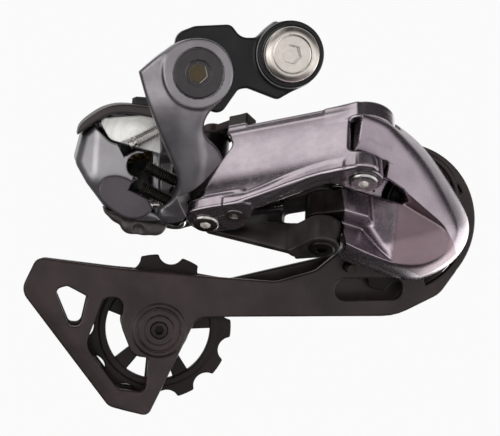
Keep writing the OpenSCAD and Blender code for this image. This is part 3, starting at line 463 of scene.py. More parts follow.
SHELL = rounded([(-60.6, -23.2, 2.5), (-63, -32.2, 4), (-59.6, -38.4, 4), (-54, -46.2, 4), (-47, -50.2, 3),
                 (-37.6, -50, 1), (-37.6, -19.4, 1), (-50.4, -17, 3), (-56.6, -20.4, 3)])
HOLLOW = [(-58.4, -24.4), (-60.6, -32), (-57.4, -37.4), (-52.4, -44.4), (-46.4, -47.8), (-39.6, -47.8),
          (-39.6, -21.6), (-50, -19.2), (-55.8, -22.4)]
RECESS = rounded([(-59, -15, 2), (-57.6, -20.6, 3), (-52.6, -26, 5), (-44, -28.6, 4), (-34, -31, 0),
                  (-34, -12, 0)])
PLATE = rounded([(-56, -19, 1.5), (-36, -17.6, 0), (-36, -30, 0), (-44, -27.8, 2), (-52.4, -25.4, 3)])
SCREW_BAY = curved([(-47.6, -31.2), (-44.4, -29.2), (-34, -29.6, 1), (-34, -49, 1), (-40.5, -47.4), (-47, -42.4),
                    (-46.6, -38.4), (-43.4, -37), (-47.4, -35.4)])


def motor_housing_field(x, y, z):
    e, m, u = in_links(x, y, z)
    d = outline(x, z, SHELL)
    facets = soft_max(3 - y, plane(x, y, z, (-56.5, 3, -30), (-0.62, -0.78, 0.05)), 1.0)
    facets = soft_max(facets, plane(x, y, z, (-52, 3, -40.4), (-0.36, -0.8, -0.48)), 1.4)
    d = soft_max(soft_max(d, facets, 2.2), y - 30, 0.6)
    inside = both(both(outline(x, z, HOLLOW), 5.4 - y), facets + 2.4)
    recess = outline(x, z, RECESS)
    behind = both(recess - 1.6, both(y - 9.6, outline(x, z, PLATE) - 0.6))
    inside = both(inside, -behind)
    d = cut(d, inside)
    d = soft_max(d, -both(recess, y - np.where(outline(x, z, PLATE) > 0.8, 12, 7.9)), 0.6)
    d = soft_max(d, -both(outline(x, z, SCREW_BAY), y - 9), 0.8)
    room = either(sector_room(e, m, u), disc(e, m, INNER_PIN, 6.75))
    room = either(room, both(disc(e, m, PINION_AT, 4.8), between(u, 9.9, 23.3)))
    d = cut(d, room)
    for at, tilt in SCREWS:
        d = cut(d, screw_hole(x, y, z, at, tilt, 2.6))
    return d


def plate_field(x, y, z):
    d = soft_max(outline(x, z, PLATE), outline(x, z, RECESS) + 0.2, 0.3)
    d = soft_max(d, plane(x, y, z, (-45, 5.9, -24), (0.06, -0.99, 0.1)), 0.3)
    d = soft_max(d, y - 7.9, 0.1)
    return cut(d, screw_hole(x, y, z, *SCREWS[0], 2.3))


def cable_port_field(x, y, z):
    d = outline(x, z, curved([(-54.8, -45.6), (-54.2, -48), (-50, -50.2), (-48.6, -53), (-45, -54.2),
                              (-38.2, -54.6), (-35.6, -52.8), (-35.6, -50.3), (-47.2, -50.2)], 2))
    d = soft_max(d, between(y, 6.2, 20), 1.6)
    for lump in (((-46.6, 7.4, -51.2), 2.2), ((-42.2, 7.2, -51.8), 1.8), ((-50.4, 8, -48.6), 1.7),
                 ((-38.6, 8, -52.4), 1.6)):
        d = soft_min(d, ball(x, y, z, *lump), 1.8)
    d = soft_max(d, -ball(x, y, z, (-44.2, 5.2, -52.6), 1.6), 1.2)
    e, m, u = in_links(x, y, z)
    return cut(d, disc(e, m, INNER_PIN, 6.75), -between(u, 13.2, 20))


def lower_cover_field(x, y, z):
    d = outline(x, z, curved([(-56.6, -43), (-55.8, -36.6), (-50, -35.4), (-44.0, -38.6), (-41.6, -42.6),
                              (-39.4, -47), (-47, -50)]))
    d = soft_max(d, between(y, 1.4, 2.98), 1.0)
    for at, tilt in SCREWS:
        d = cut(d, screw_hole(x, y, z, at, tilt, 2.5))
    return d


def top_guard_field(x, y, z):
    d = outline(x, z, curved([(-62.2, -23.9, 1), (-61.4, -20.2), (-51.4, -13.9), (-37.8, -16, 1),
                              (-37.8, -19.2, 1), (-50.4, -16.8), (-56.7, -20.0), (-60.4, -22.6, 1)]))
    d = soft_max(d, between(y, 3.4, 22), 1.0)
    # The hole of the cable plug
    a = math.radians(94)
    along = (x + 45.5) * math.sin(a) + (z + 14.82) * math.cos(a)
    across = (x + 45.5) * math.cos(a) - (z + 14.82) * math.sin(a)
    return cut(d, np.sqrt(across ** 2 + (y - 13) ** 2) - 2.3, -along)


# ---- materials ----

def material(name, build):
    m = bpy.data.materials.new(name)
    m.use_nodes = True
    build(m.node_tree, m.node_tree.nodes["Principled BSDF"])
    return m


def feed(tree, node, inputs):
    """Sets each input to its value, or links it to another node's socket."""
    for socket, value in inputs.items():
        if isinstance(value, bpy.types.NodeSocket):
            tree.links.new(value, node.inputs[socket])
        else:
            node.inputs[socket].default_value = value


def add(tree, kind, inputs=None, **settings):
    """A new shader node."""
    node = tree.nodes.new("ShaderNode" + kind)
    for key, value in settings.items():
        setattr(node, key, value)
    feed(tree, node, inputs or {})
    return node


def own_place(tree):
    """The piece's own coordinates, which are metres."""
    return add(tree, "TexCoord").outputs["Object"]


def noise(tree, scale, detail=3.0, rough=0.5):
    """Noise over the piece's own coordinates; scale is in features per millimetre."""
    inputs = {"Vector": own_place(tree), "Scale": scale / MM, "Detail": detail, "Roughness": rough}
    return add(tree, "TexNoise", inputs).outputs["Fac"]


def ramp(tree, fac, *stops):
    """Grey levels between two stops of (place, level)."""
    node = add(tree, "ValToRGB", {"Fac": fac})
    for item, (at, level) in zip(node.color_ramp.elements, stops):
        item.position = at
        item.color = (level, level, level, 1)
    return node.outputs["Color"]


def mix(tree, fac, a, b, kind="MIX"):
    node = add(tree, "Mix", data_type="RGBA", blend_type=kind)
    a, b = ((*v, 1) if isinstance(v, tuple) else v for v in (a, b))
    feed(tree, node, {0: fac, 6: a, 7: b})
    return node.outputs[2]


def worn_and_highlit_edges(tree, radius):
    """1 on sharp edges, where rubbed wear and a painted highlight go: the difference between the true and the
    rounded normal.
    """
    bevel = add(tree, "Bevel", {"Radius": radius * MM}, samples=4).outputs["Normal"]
    true = add(tree, "NewGeometry").outputs["Normal"]
    dot = add(tree, "VectorMath", {0: bevel, 1: true}, operation="DOT_PRODUCT").outputs["Value"]
    return add(tree, "MapRange", {"From Min": 0.95, "From Max": 0.78, "Value": dot}).outputs["Result"]


def shaded(tree, tone, reach, keep):
    """Painted shade: tone darkened in crevices narrower than about reach millimetres, down to keep."""
    ao = add(tree, "AmbientOcclusion", {"Distance": reach * MM}, samples=4).outputs["AO"]
    return mix(tree, ramp(tree, ao, (0.35, keep), (0.85, 1.0)), (0, 0, 0), tone)


def bumps(tree, bsdf, edge, *heights):
    """Sharp edges rounded over edge millimetres, then bumps of (socket, distance in mm, strength)."""
    normal = add(tree, "Bevel", {"Radius": edge * MM}, samples=4).outputs["Normal"]
    for height, distance, strength in heights:
        inputs = {"Height": height, "Distance": distance * MM, "Strength": strength, "Normal": normal}
        normal = add(tree, "Bump", inputs).outputs["Normal"]
    feed(tree, bsdf, {"Normal": normal})


def coated(dark, light, rough, metal, grain, grain_scale, edge, wear_and_highlight_colour=None, coat=0.0, sparkle=0.0,
           specular=0.5):
    """Painted or anodised metal: blotchy tone, fine grain, brighter edges that are partly rubbed wear and partly a
    painted highlight, and painted shade in crevices.
    """
    def build(tree, bsdf):
        tone = mix(tree, ramp(tree, noise(tree, 0.12, 4), (0.35, 0.0), (0.65, 1.0)), dark, light)
        fine = noise(tree, grain_scale, 2, 0.6)
        if sparkle:
            tone = mix(tree, ramp(tree, fine, (0.62, 0.0), (0.74, sparkle)), tone, (0.8, 0.78, 0.8), "ADD")
        # Brighter sharp edges: partly rubbed wear, partly a painted highlight of edges catching light
        if wear_and_highlight_colour:
            patchy = ramp(tree, noise(tree, 0.6, 3), (0.3, 0.2), (0.6, 0.8))
            scuff_and_highlight = add(tree, "Math", {0: worn_and_highlit_edges(tree, edge * 1.3), 1: patchy}, operation="MULTIPLY")
            tone = mix(tree, scuff_and_highlight.outputs[0], tone, wear_and_highlight_colour)
        shine = ramp(tree, noise(tree, 0.5, 5, 0.6), (0.25, rough - 0.06), (0.75, rough + 0.07))
        # The base colour carries painted shade in crevices
        feed(tree, bsdf, {"Base Color": shaded(tree, tone, 5, 0.25), "Roughness": shine, "Metallic": metal,
                          "Specular IOR Level": specular, "Coat Weight": coat, "Coat Roughness": 0.08})
        bumps(tree, bsdf, edge, (fine, grain, 0.5), (noise(tree, 0.25, 2), 0.05, 0.25))
    return build


def turned(colour, rough, centre, metal=1.0, rings=3.0, edge=0.15):
    """Lathed metal: fine rings about a Y axis through centre (x, z), in millimetres."""
    darker, smudged = (tuple(v * share for v in colour) for share in (0.86, 0.6))

    def build(tree, bsdf):
        inputs = {"Vector": own_place(tree), "Location": (-centre[0] * MM, 0, -centre[1] * MM), "Scale": (1, 0, 1)}
        place = add(tree, "Mapping", inputs).outputs["Vector"]
        length = add(tree, "VectorMath", {0: place}, operation="LENGTH").outputs["Value"]
        inputs = {"Scale": rings / MM, "Detail": 4, "W": length}
        lines = add(tree, "TexNoise", inputs, noise_dimensions="1D").outputs["Fac"]
        tone = mix(tree, ramp(tree, lines, (0.35, 0.0), (0.65, 1.0)), darker, colour)
        smudge = ramp(tree, noise(tree, 0.35, 4), (0.4, 0.0), (0.75, 0.35))
        shine = ramp(tree, noise(tree, 0.8, 4), (0.3, rough - 0.05), (0.7, rough + 0.08))
        feed(tree, bsdf, {"Base Color": mix(tree, smudge, tone, smudged), "Roughness": shine, "Metallic": metal})
        bumps(tree, bsdf, edge, (lines, 0.006, 0.35))
    return build


def moulded(dark, light, rough, grain, grain_scale, edge=0.2, specular=0.5):
    """Plastic or rubber: a faint mould grain and slight unevenness of tone and shine."""
    def build(tree, bsdf):
        tone = mix(tree, ramp(tree, noise(tree, 0.1, 4), (0.35, 0.0), (0.7, 1.0)), dark, light)
        shine = ramp(tree, noise(tree, 0.4, 5), (0.3, rough - 0.07), (0.7, rough + 0.08))
        feed(tree, bsdf, {"Base Color": tone, "Roughness": shine, "Specular IOR Level": specular})
        bumps(tree, bsdf, edge, (noise(tree, grain_scale, 3), grain, 0.5))
    return build


def board(tree, bsdf):
    """Green lacquered board with pale copper traces under the lacquer."""
    brick = add(tree, "TexBrick", {"Scale": 420, "Vector": own_place(tree)}).outputs["Fac"]
    tone = mix(tree, brick, (0.02, 0.13, 0.05), (0.10, 0.26, 0.10))
    smudge = ramp(tree, noise(tree, 0.3), (0.4, 0.0), (0.6, 0.4))
    feed(tree, bsdf, {"Base Color": mix(tree, smudge, tone, (0.01, 0.08, 0.03)), "Roughness": 0.35})
    bumps(tree, bsdf, 0.1, (brick, 0.04, 0.4))


LOOK = {
    "link_black": coated((0.005, 0.0045, 0.005), (0.011, 0.010, 0.0105),
                         0.3, 0.0, 0.01, 6, 0.35, (0.1, 0.09, 0.09), 0.1, specular=0.2),
    "bolt_steel": turned((0.78, 0.72, 0.66), 0.34, (0, 0), 1.0, 2.5),
    "bolt_dark": turned((0.06, 0.054, 0.058), 0.34, AXLE, 0.8, 3),
    "knuckle_grey": coated((0.21, 0.195, 0.21), (0.27, 0.255, 0.27),
                           0.36, 0.9, 0.04, 5.5, 0.3, (0.55, 0.52, 0.54), 0.15, 0.08),
    "housing_grey": coated((0.31, 0.295, 0.31), (0.37, 0.355, 0.37),
                           0.32, 0.85, 0.02, 5, 0.3, (0.5, 0.48, 0.5), 0.1, 0.02),
    "guard_brown": moulded((0.016, 0.011, 0.010), (0.030, 0.021, 0.020), 0.4, 0.015, 3),
    # Near white and barely metallic: the plate's own silver with a painted reflection of bright light
    "plate_bright": turned((0.93, 0.92, 0.88), 0.4, (-45, -24), 0.1, 0.8),
    "cover_dark": moulded((0.034, 0.027, 0.032), (0.055, 0.046, 0.053), 0.3, 0.012, 3, 0.3),
    "port_brown": moulded((0.03, 0.022, 0.022), (0.055, 0.043, 0.043), 0.38, 0.02, 1.6, 0.4),
    "rubber_black": moulded((0.008, 0.008, 0.008), (0.016, 0.015, 0.015), 0.6, 0.02, 5),
    "bush_bronze": turned((0.55, 0.4, 0.22), 0.35, AXLE),
    "hex_bronze": turned((0.09, 0.07, 0.045), 0.3, AXLE),
    "motor_steel": turned((0.55, 0.54, 0.53), 0.3, (-40, -40), 1.0, 1),
    "board_green": board,
    "screw_black": coated((0.012, 0.010, 0.009), (0.035, 0.028, 0.025),
                          0.33, 0.85, 0.01, 6, 0.1, (0.3, 0.26, 0.22)),
    "link_gloss": coated((0.34, 0.29, 0.32), (0.40, 0.345, 0.375),
                         0.22, 0.95, 0.006, 7, 0.25, (0.75, 0.7, 0.72), 0.35),
    "p_gloss": coated((0.35, 0.29, 0.33), (0.42, 0.355, 0.395),
                      0.25, 0.95, 0.014, 7, 0.25, (0.75, 0.7, 0.72), 0.2, 0.02),
    # A darker copy of the cage knuckle's finish: painted shade on the floor of its hollow
    "p_maroon": coated((0.23, 0.165, 0.185), (0.27, 0.2, 0.22), 0.34, 0.95, 0.02, 7, 0.25, None, 0.1, 0.05),
    "link_dark": coated((0.022, 0.018, 0.017), (0.045, 0.037, 0.035),
                        0.4, 0.5, 0.02, 5, 0.3, (0.16, 0.14, 0.13)),
    "spring_black": coated((0.012, 0.01, 0.01), (0.03, 0.026, 0.024),
                           0.3, 0.8, 0.006, 6, 0.1, (0.25, 0.22, 0.2)),
    "cage_brown": coated((0.016, 0.0095, 0.0095), (0.028, 0.018, 0.0175),
                         0.34, 0.2, 0.014, 4, 0.4, (0.09, 0.065, 0.062), 0.05, specular=0.35),
    "pulley_black": moulded((0.009, 0.0065, 0.006), (0.017, 0.012, 0.0115), 0.42, 0.02, 3, 0.3, 0.15),
    "gear_brass": turned((0.75, 0.55, 0.28), 0.3, (-30, -50), 1.0, 1),
    "pin_steel": turned((0.62, 0.6, 0.58), 0.2, (-24, -50), 1.0, 1, 0.2),
}
MATERIALS = {}


def finish(piece, *looks, where=None):
    """One look for the piece, or several: where() gives each face's look from its middle, in millimetres."""
    piece.data.materials.clear()
    for name in looks:
        if name not in MATERIALS:
            MATERIALS[name] = material(name, LOOK[name])
        piece.data.materials.append(MATERIALS[name])
    if where:
        middle = np.empty(len(piece.data.polygons) * 3)
        piece.data.polygons.foreach_get("center", middle)
        x, y, z = middle.reshape(-1, 3).T / MM
        piece.data.polygons.foreach_set("material_index", where(x, y, z).astype(int).tolist())
    return piece


# ---- inner link ----

WEB_OUT, WEB_IN = 10.6, 13.8
B_LOW_EAR, B_TOP_EAR, P_LOW_EAR, P_TOP_EAR = (10, 13), (20.2, 23.2), (-9.2, -0.5), (8.2, 11.5)
WEB = rounded([(-8, 8.4, 1), (-5.5, 6.2, 1), (27.5, -6.8, 2), (27.5, 0.6, 2), (20, 3.4, 2), (20, 8.2, 2),
               (26, 8.2, 0), (26, 11.5, 0), (14, 11.5, 4), (2, 23.2, 3), (-8, 23.2, 1)])
FLANGE = rounded([(-6.5, 4.4, 1), (-3, 5.4, 2), (14, 3.4, 6), (26.5, 0.2, 1), (26.5, -9, 2), (24, -9.2, 3)])


def inner_link_field(e, m, u):
    d = soft_max(outline(e, u, WEB), between(m, WEB_OUT, WEB_IN), 0.7)
    d = joined(d, outline(e, u, FLANGE), m, WEB_OUT - 2.4, WEB_OUT + 0.5, 0.9, 0.8)
    for low, high in (B_LOW_EAR, B_TOP_EAR):
        ear = outline(e, m, [(-4, WEB_IN), (-4, WEB_OUT)] + arc(INNER_PIN, 5.5, -70, -290))
        d = joined(d, ear, u, low, high, 0.7, 1.0)
    for start, drop, (low, high) in ((24, 2.4, P_LOW_EAR), (10, 0, P_TOP_EAR)):
        ear = outline(e, m, [(start, WEB_IN), (start, WEB_OUT - drop)] + arc(INNER_PIN_P, 5.5, -110, 100))
        d = joined(d, ear, u, low, high, 0.9, 1.4)
    d = cut(d, disc(e, m, INNER_PIN, 2.55), -u)
    return cut(d, disc(e, m, INNER_PIN_P, 2.55), -12 - u)


# ---- cage, pulleys, hanger link and bolts ----

GUIDE, TENSION = (35.75, -51.1), (-38.05, -83.4)
OUTER_PLATE = arc(GUIDE, 24.2, -40, 100, 40) + rounded([
    (20, -58, 3), (10, -66, 6), (-2, -69.2, 8), (-26.2, -67, 0), (-51.3, -64.2, 0), (-74.6, -60.6, 3),
    (-79.6, -70.6, 5), (-53.6, -106.8, 4), (-41.6, -110, 2.4), (-26.6, -80, 4), (-16.4, -79.8, 0), (35, -80.6, 18),
    (49, -74, 8), (54, -67.2, 0)])
INNER_PLATE = arc(GUIDE, 23.2, -40, 110, 40) + rounded([
    (24, -50, 6), (14, -63, 6), (-16, -69.4, 6), (-26.2, -67.4, 0), (-51.3, -64.8, 0), (-74, -61.6, 3),
    (-78.4, -70.6, 5), (-53.6, -105.8, 4), (-42.2, -108.6, 2.4), (-27.2, -79.6, 4), (-16.4, -79, 0),
    (35, -79.6, 18), (48.6, -73.2, 8), (53.4, -66.6, 0)])
TAIL_WINDOW = rounded([(-69.6, -70.4, 2), (-65.6, -69.4, 1.5), (-59.6, -72.8, 0.8), (-61.8, -82, 2),
                       (-65.2, -81.6, 1.4)])
TAIL_OPENING = rounded([(-54.8, -73.4, 2), (-48.4, -73, 3), (-49.6, -82, 5), (-46.2, -91.2, 4), (-41.3, -92, 1),
                        (-42.4, -102.6, 2), (-50.6, -101.4, 3), (-60.4, -87.6, 5)])
OVAL = arc((19.4, -72), 3.3, 90, 270, 12) + arc((34, -72), 3.3, -90, 90, 12)


def cage_outer_field(x, y, z):
    # The flat front falls off above a line along the tail, and behind the slanted end
    above = (z + 66.6 + (x + 84) * 0.063) * ease((12 - x) / 10)
    behind = np.where(x > 8, 0, -(x + 76) * 0.815 - (z + 69) * 0.579)
    front = soft_max(6 - y, (6 + above * 0.19 - y) * 0.98, 0.35)
    front = soft_max(front, (6 + behind * 0.26 - y) * 0.97, 0.35)
    d = soft_max(outline(x, z, OUTER_PLATE), soft_max(front, y - 8.4, 0.5), 0.7)
    window = either(outline(x, z, TAIL_WINDOW), outline(x, z, TAIL_OPENING))
    for a, b in ((-66, -28), (24, 60)):
        window = either(window, outline(x, z, arc(GUIDE, 21.6, a, b) + arc(GUIDE, 16.2, b, a)))
    d = soft_max(d, -either(window, outline(x, z, OVAL)), 0.7)
    boss = soft_max(disc(x, z, TENSION, 8.2), between(y, 5.4, 8.4), 0.7)
    boss = soft_max(boss, -soft_max(np.abs(disc(x, z, TENSION, 6.6)) - 0.25, y - 5.8, 0.2), 0.3)
    boss = soft_max(boss, -soft_max(disc(x, z, TENSION, 4.5), y - 5.9, 0.3), 0.3)
    d = soft_min(d, boss, 0.5)
    for c in (TENSION, GUIDE):
        d = either(d, both(disc(x, z, c, 5.4), between(y, 8.3, 9.4)))
        d = cut(d, disc(x, z, c, 2.53))
    rim = soft_max(np.abs(disc(x, z, CAGE_PIVOT, 14.6)) - 0.7, between(y, 5.6, 7), 0.5)
    d = soft_min(d, rim, 0.6)
    d = cut(d, disc(x, z, CAGE_PIVOT, 12.5), y - 6.02)
    d = cut(d, disc(x, z, CAGE_PIVOT, 4.03))
    return cut(d, disc(x, z, (20.2, -64.9), 1.52))


def cage_inner_field(x, y, z):
    d = soft_max(outline(x, z, INNER_PLATE), between(y, 15.4, 17.8), 0.7)
    window = either(outline(x, z, TAIL_WINDOW), outline(x, z, TAIL_OPENING))
    for a, b in ((-150, -10), (5, 85)):
        window = either(window, outline(x, z, arc(GUIDE, 18.6, a, b) + arc(GUIDE, 8.5, b, a)))
    d = soft_max(d, -window, 0.7)
    for c in (TENSION, GUIDE):
        d = joined(d, disc(x, z, c, 5.4), y, 14.4, 15.6, 0.3, 0.3)
        d = cut(d, disc(x, z, c, 2.53))
    return d


PULLEY_TEETH, SPOKES, PULLEY_MIDDLE = 11, 5, 12


def pulley_field(at, phase):
    pitch, spoke = 360 / PULLEY_TEETH, 360 / SPOKES
    opening = arc((0, 0), 16, -27, 27) + arc((0, 0), 9.6, 25, -25)

    def field(x, y, z):
        px, pz, level = x - at[0], z - at[1], np.abs(y - PULLEY_MIDDLE)
        r, a = np.sqrt(px ** 2 + pz ** 2), np.degrees(np.arctan2(pz, px)) - phase
        # Each tooth and each opening is drawn once, about the angle 0
        w = np.radians((a + 4 * 360) % pitch - pitch / 2)
        teeth = soft_max(r - 22.5, 3.9 - np.sqrt((r * np.cos(w) - 23.55) ** 2 + (r * np.sin(w)) ** 2), 0.5)
        d = soft_max(teeth, level - 1.1 + 0.35 * ease((r - 19.6) / 3), 0.4)
        d = soft_min(d, soft_max(soft_max(r - 18, 16 - r, 0.3), level - 1.55, 0.5), 0.5)
        d = soft_min(d, soft_max(np.abs(r - 17.1) - 0.95, level - 1.7, 0.5), 0.3)
        v = np.radians((a + 17 + 4 * 360) % spoke - spoke / 2)
        d = soft_max(d, -outline(r * np.cos(v), r * np.sin(v), opening), 0.6)
        d = soft_min(d, soft_max(r - 8.2, level - 2.28, 0.4), 0.6)
        return both(d, 3.97 - r)
    return field


HANGER = rounded([(-27.8, 8.3, 4), (-17.2, 8.8, 2.5), (-14.2, 4.9, 4), (-9.2, 4.9, 4), (-4, 9.4, 0), (0, 0, 0),
                  (8.7, -5, 0), (5.6, -8.4, 3), (-3.4, -13.4, 2), (-12.5, -9.9, 3), (-15, -10.3, 2),
                  (-20.3, -17.6, 3), (-26, -15.8, 3), (-34.8, -5, 4), (-33.2, 6.2, 4)])


def hanger_field(x, y, z):
    d = soft_max(outline(x, z, HANGER), between(y, -5.5, 0), 1.2)
    d = joined(d, disc(x, z, AXLE, 7.6), y, -5.5, 0, 0.8, 1)
    d = joined(d, disc(x, z, (0, 0), 9.9), y, -9, 0, 0.9, 1.6)
    lug = outline(x, z, rounded([(-13.6, -3, 1), (-10.6, -2, 1), (-10.6, 3.4, 1), (-13.6, 3.8, 1)]))
    d = joined(d, lug, y, -0.5, 6, 0.6, 0.6)
    d = cut(d, disc(x, z, (0, 0), 5.1))
    d = soft_max(d, -both(disc(x, z, (0, 0), 8.5), y + 8.6), 0.25)
    return cut(d, disc(x, z, AXLE, 4.05))


def thread(along, angle, radius, major, pitch, depth):
    """Distance to a threaded bar; along and angle place the helix."""
    phase = (along / pitch - angle / (2 * math.pi)) % 1
    return (radius - major + depth * np.abs(phase - 0.5) * 2) * 0.8


def hanger_bolt_field(x, y, z):
    r, a = np.sqrt(x ** 2 + z ** 2), np.arctan2(z, x)
    head = soft_max(r - 8.1, between(y, -12.4, -9.02), 0.8)
    head = soft_max(head, (-12.4 - y + (r - 6.4) * 0.75) * 0.8, 0.5)
    head = soft_max(head, -soft_max(r - 5.6, (y + 11.75 + (5.6 - r) * -0.12), 0.4), 0.4)
    shank = both(r - 4.4, between(y, -9.2, 0.3))
    screw = soft_max(thread(y, a, r, 5, 1, 0.55), between(y, 0, 9), 0.3)
    screw = soft_max(screw, (r - 5 + (y - 8) * 0.9) * 0.7, 0.3)
    d = either(either(head, shank), screw)
    return soft_max(d, -both(hexagon(x, z, (0, 0), 2.5, math.radians(15)), y + 6.5), 0.15)


def axle_bolt_field(x, y, z):
    px, pz = x - AXLE[0], z - AXLE[1]
    r = np.sqrt(px ** 2 + pz ** 2)
    head = soft_max(r - 7.15, between(y, -16.6, -14.6), 0.5)
    head = soft_max(head, -soft_max(r - 3.75, y + 15.7, 0.3), 0.3)
    d = either(head, both(r - 5, between(y, -14.8, -5.52)))
    d = either(d, both(thread(y, np.arctan2(pz, px), r, 4, 1, 0.5), between(y, -5.7, -0.4)))
    return soft_max(d, -both(hexagon(px, pz, (0, 0), 2.5, math.radians(12)), y + 12), 0.15)


def stud_field(length, tip):
    """A threaded stud along X from the origin, with a driver socket in its rear end."""
    def field(x, y, z):
        r, a = np.sqrt(y ** 2 + z ** 2), np.arctan2(z, y)
        start = 2.2 if tip else 0
        d = soft_max(thread(x, a, r, 1.97, 0.7, 0.42), between(x, start, length), 0.2)
        d = soft_max(d, (r - 1.97 - (x - start) * 0.9) * 0.7, 0.2)
        if tip:
            d = either(d, soft_max(r - 1.6, between(x, 0, 1.4), 0.3))
            d = either(d, both(r - 1.1, between(x, 1.2, 2.6)))
        return cut(d, hexagon(y, z, (0, 0), 0.78 if tip else 1.0), x - (1.2 if tip else 1.8))
    return field


def tube(name, path, r, sides=14):
    """A closed round tube along a path of points, ends capped."""
    path = np.asarray(path, float)
    ahead = np.gradient(path, axis=0)
    ahead /= np.linalg.norm(ahead, axis=1)[:, None]
    up = np.cross(ahead[0], (0.3, 0.5, 0.8))
    rings, n = [], len(path)
    for p, t in zip(path, ahead):
        up = up - t * (up @ t)
        up /= np.linalg.norm(up)
        side = np.cross(t, up)
        k = np.arange(sides) * 2 * math.pi / sides
        rings.append(p + r * (np.cos(k)[:, None] * up + np.sin(k)[:, None] * side))
    points = np.concatenate(rings)
    faces = [[i * sides + k, i * sides + (k + 1) % sides, (i + 1) * sides + (k + 1) % sides, (i + 1) * sides + k]
             for i in range(n - 1) for k in range(sides)]
    faces += [list(range(sides))[::-1], [(n - 1) * sides + k for k in range(sides)]]
    return make(name, points, faces)


def coil(r, turns, height, steps=28):
    """Points of a helix about Z whose ends lie flatter."""
    flat = 0.12
    t = np.linspace(0, 1, int(turns * steps) + 1)
    a = t * turns * 2 * math.pi
    rise = np.interp(t, (0, flat, 1 - flat, 1), (0, flat / 2, 1 - flat / 2, 1))
    return np.stack([r * np.cos(a), r * np.sin(a), height * rise], 1)


# ---- pieces that stand for CAD nodes ----

STEP = 0.38
LINKS = (LINK_TURN, LINK_ORIGIN)
BODY_OF = {n: b for b, ns in frame["record"]["behaviour"]["bodies"].items() for n in ns}


def stand_for(node, piece, look, *more, slot=None, where=None):
    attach(piece, BODY_OF[node])
    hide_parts(node)
    slot or look
    return finish(piece, look, *more, where=where)


def cast(node, name, field, low, high, *looks, fine=1.0, placed=None, **more):
    """A skin over the box low..high that stands for the node."""
    return stand_for(node, skin(name, field, low, high, STEP * fine, placed), *looks, **more)


def knuckle_looks(x, y, z):
    """Cage knuckle: 1 on the hollow's floor, a darker copy of the finish painted as its shade; 2 on the barrels
    behind the links, glossy black painted as their shade; else 0.
    """
    e, m, u = in_links(x, y, z)
    floor = (outline(x, z, BOWL) < -0.4) & (bowl_facet(x, z) < 0) & (y > -15.3) & (y < -8) & (z < -41)
    return np.where((x < 15.6) | ((e < 48.4) & (u > 11)), 2, np.where(floor, 1, 0))


# The outer link's top, its post and upper ear, takes the cage's dark brown finish as painted shade
cast("outer_link", "outer_link_shell", outer_link_field, (-7, -10, -3), (61, 9, 35), "link_gloss", "cage_brown",
     fine=0.85, placed=LINKS, where=lambda x, y, z: in_links(x, y, z)[2] > 29.3)
cast("inner_link", "rear_link", inner_link_field, (-24, 2, -11), (42, 17, 25), "link_dark", placed=LINKS)
# The hollow's floor and the barrels behind the links take darker finishes as painted shade
cast("p_knuckle", "cage_knuckle", p_knuckle_field, (2, -17.5, -71), (59, 7, -14), "p_gloss", "p_maroon",
     "screw_black", slot="link_gloss", where=knuckle_looks)
# The knuckle's barrels behind the links take the glossy black finish as painted shade
cast("b_knuckle", "bracket_knuckle", b_knuckle_field, (-47, -17, -54), (-9, 26, 7), "knuckle_grey", "screw_black",
     where=lambda x, y, z: in_links(x, y, z)[1] > -6.5)
cast("motor_housing", "drive_housing", motor_housing_field, (-65, 1, -53), (-34, 31, -14), "housing_grey")
cast("cable_port_cover", "port_cover", cable_port_field, (-57, 4, -57), (-33, 21, -44), "port_brown",
     slot="cover_dark")
# The silver plate's brightness is partly its own colour, partly a painted reflection
cast("side_plate", "bright_plate", plate_field, (-60, 4, -32), (-34, 9, -15), "plate_bright")
cast("lower_cover", "smooth_cover", lower_cover_field, (-58, 0, -51), (-38, 4, -34), "cover_dark")
cast("top_guard", "top_band", top_guard_field, (-64, 2, -26), (-36, 23, -12), "guard_brown")
cast("hanger_link", "hanger_bracket", hanger_field, (-37, -10, -20), (11, 7, 11), "link_black")
cast("hanger_bolt", "hanger_screw", hanger_bolt_field, (-9, -13, -9), (9, 9.5, 9), "bolt_steel", fine=0.6)
cast("bracket_axle_bolt", "axle_screw", axle_bolt_field, (-36, -17.2, -13.6), (-19.6, 0, 2.8), "bolt_dark",
     "hex_bronze", fine=0.7, where=lambda x, y, z: (disc(x, z, AXLE, 3.4) < 0) & (y > -15.6))
cast("cage_outer_plate", "outer_cage_plate", cage_outer_field, (-81, 4.6, -112), (61, 10, -26), "cage_brown")
cast("cage_inner_plate", "inner_cage_plate", cage_inner_field, (-80, 13.8, -111), (60, 18.4, -27), "cage_brown")
for name, at, phase in (("guide_pulley", GUIDE, 59), ("tension_pulley", TENSION, 96)):
    low, high = (at[0] - 23.2, 9, at[1] - 23.2), (at[0] + 23.2, 15, at[1] + 23.2)
    cast(name, name + "_wheel", pulley_field(at, phase), low, high, "pulley_black", fine=0.9)
for name, (at, tilt), length, look in (("b_tension_screw", SCREWS[0], 14, "pin_steel"),
                                       ("high_limit_screw", SCREWS[1], 10.5, "screw_black"),
                                       ("low_limit_screw", SCREWS[2], 10.5, "screw_black")):
    placed = (turn("Y", tilt), np.array(at))
    field = stud_field(length, look == "pin_steel")
    stud = skin(name + "_stud", field, (-0.4, -2.4, -2.4), (length + .5, 2.4, 2.4), 0.16, placed)
    stand_for(name, stud, look, slot="screw_black")
path = coil(2.3, 9, 9)
path = path @ turn("Y", 94).T @ turn("Z", -5).T + np.array((13.4, 4.7, 8))
stand_for("saver_spring", tube("saver_coil", path @ LINK_TURN.T + LINK_ORIGIN, 0.4), "spring_black")
path = coil(8.6, 3.25, 6.2, 40) @ turn("X", -90).T + np.array((CAGE_PIVOT[0], -2, CAGE_PIVOT[1]))
stand_for("cage_tension_spring", tube("cage_coil", path, 0.8), "spring_black")

# ---- CAD nodes that stay: rounded edges and a finish ----

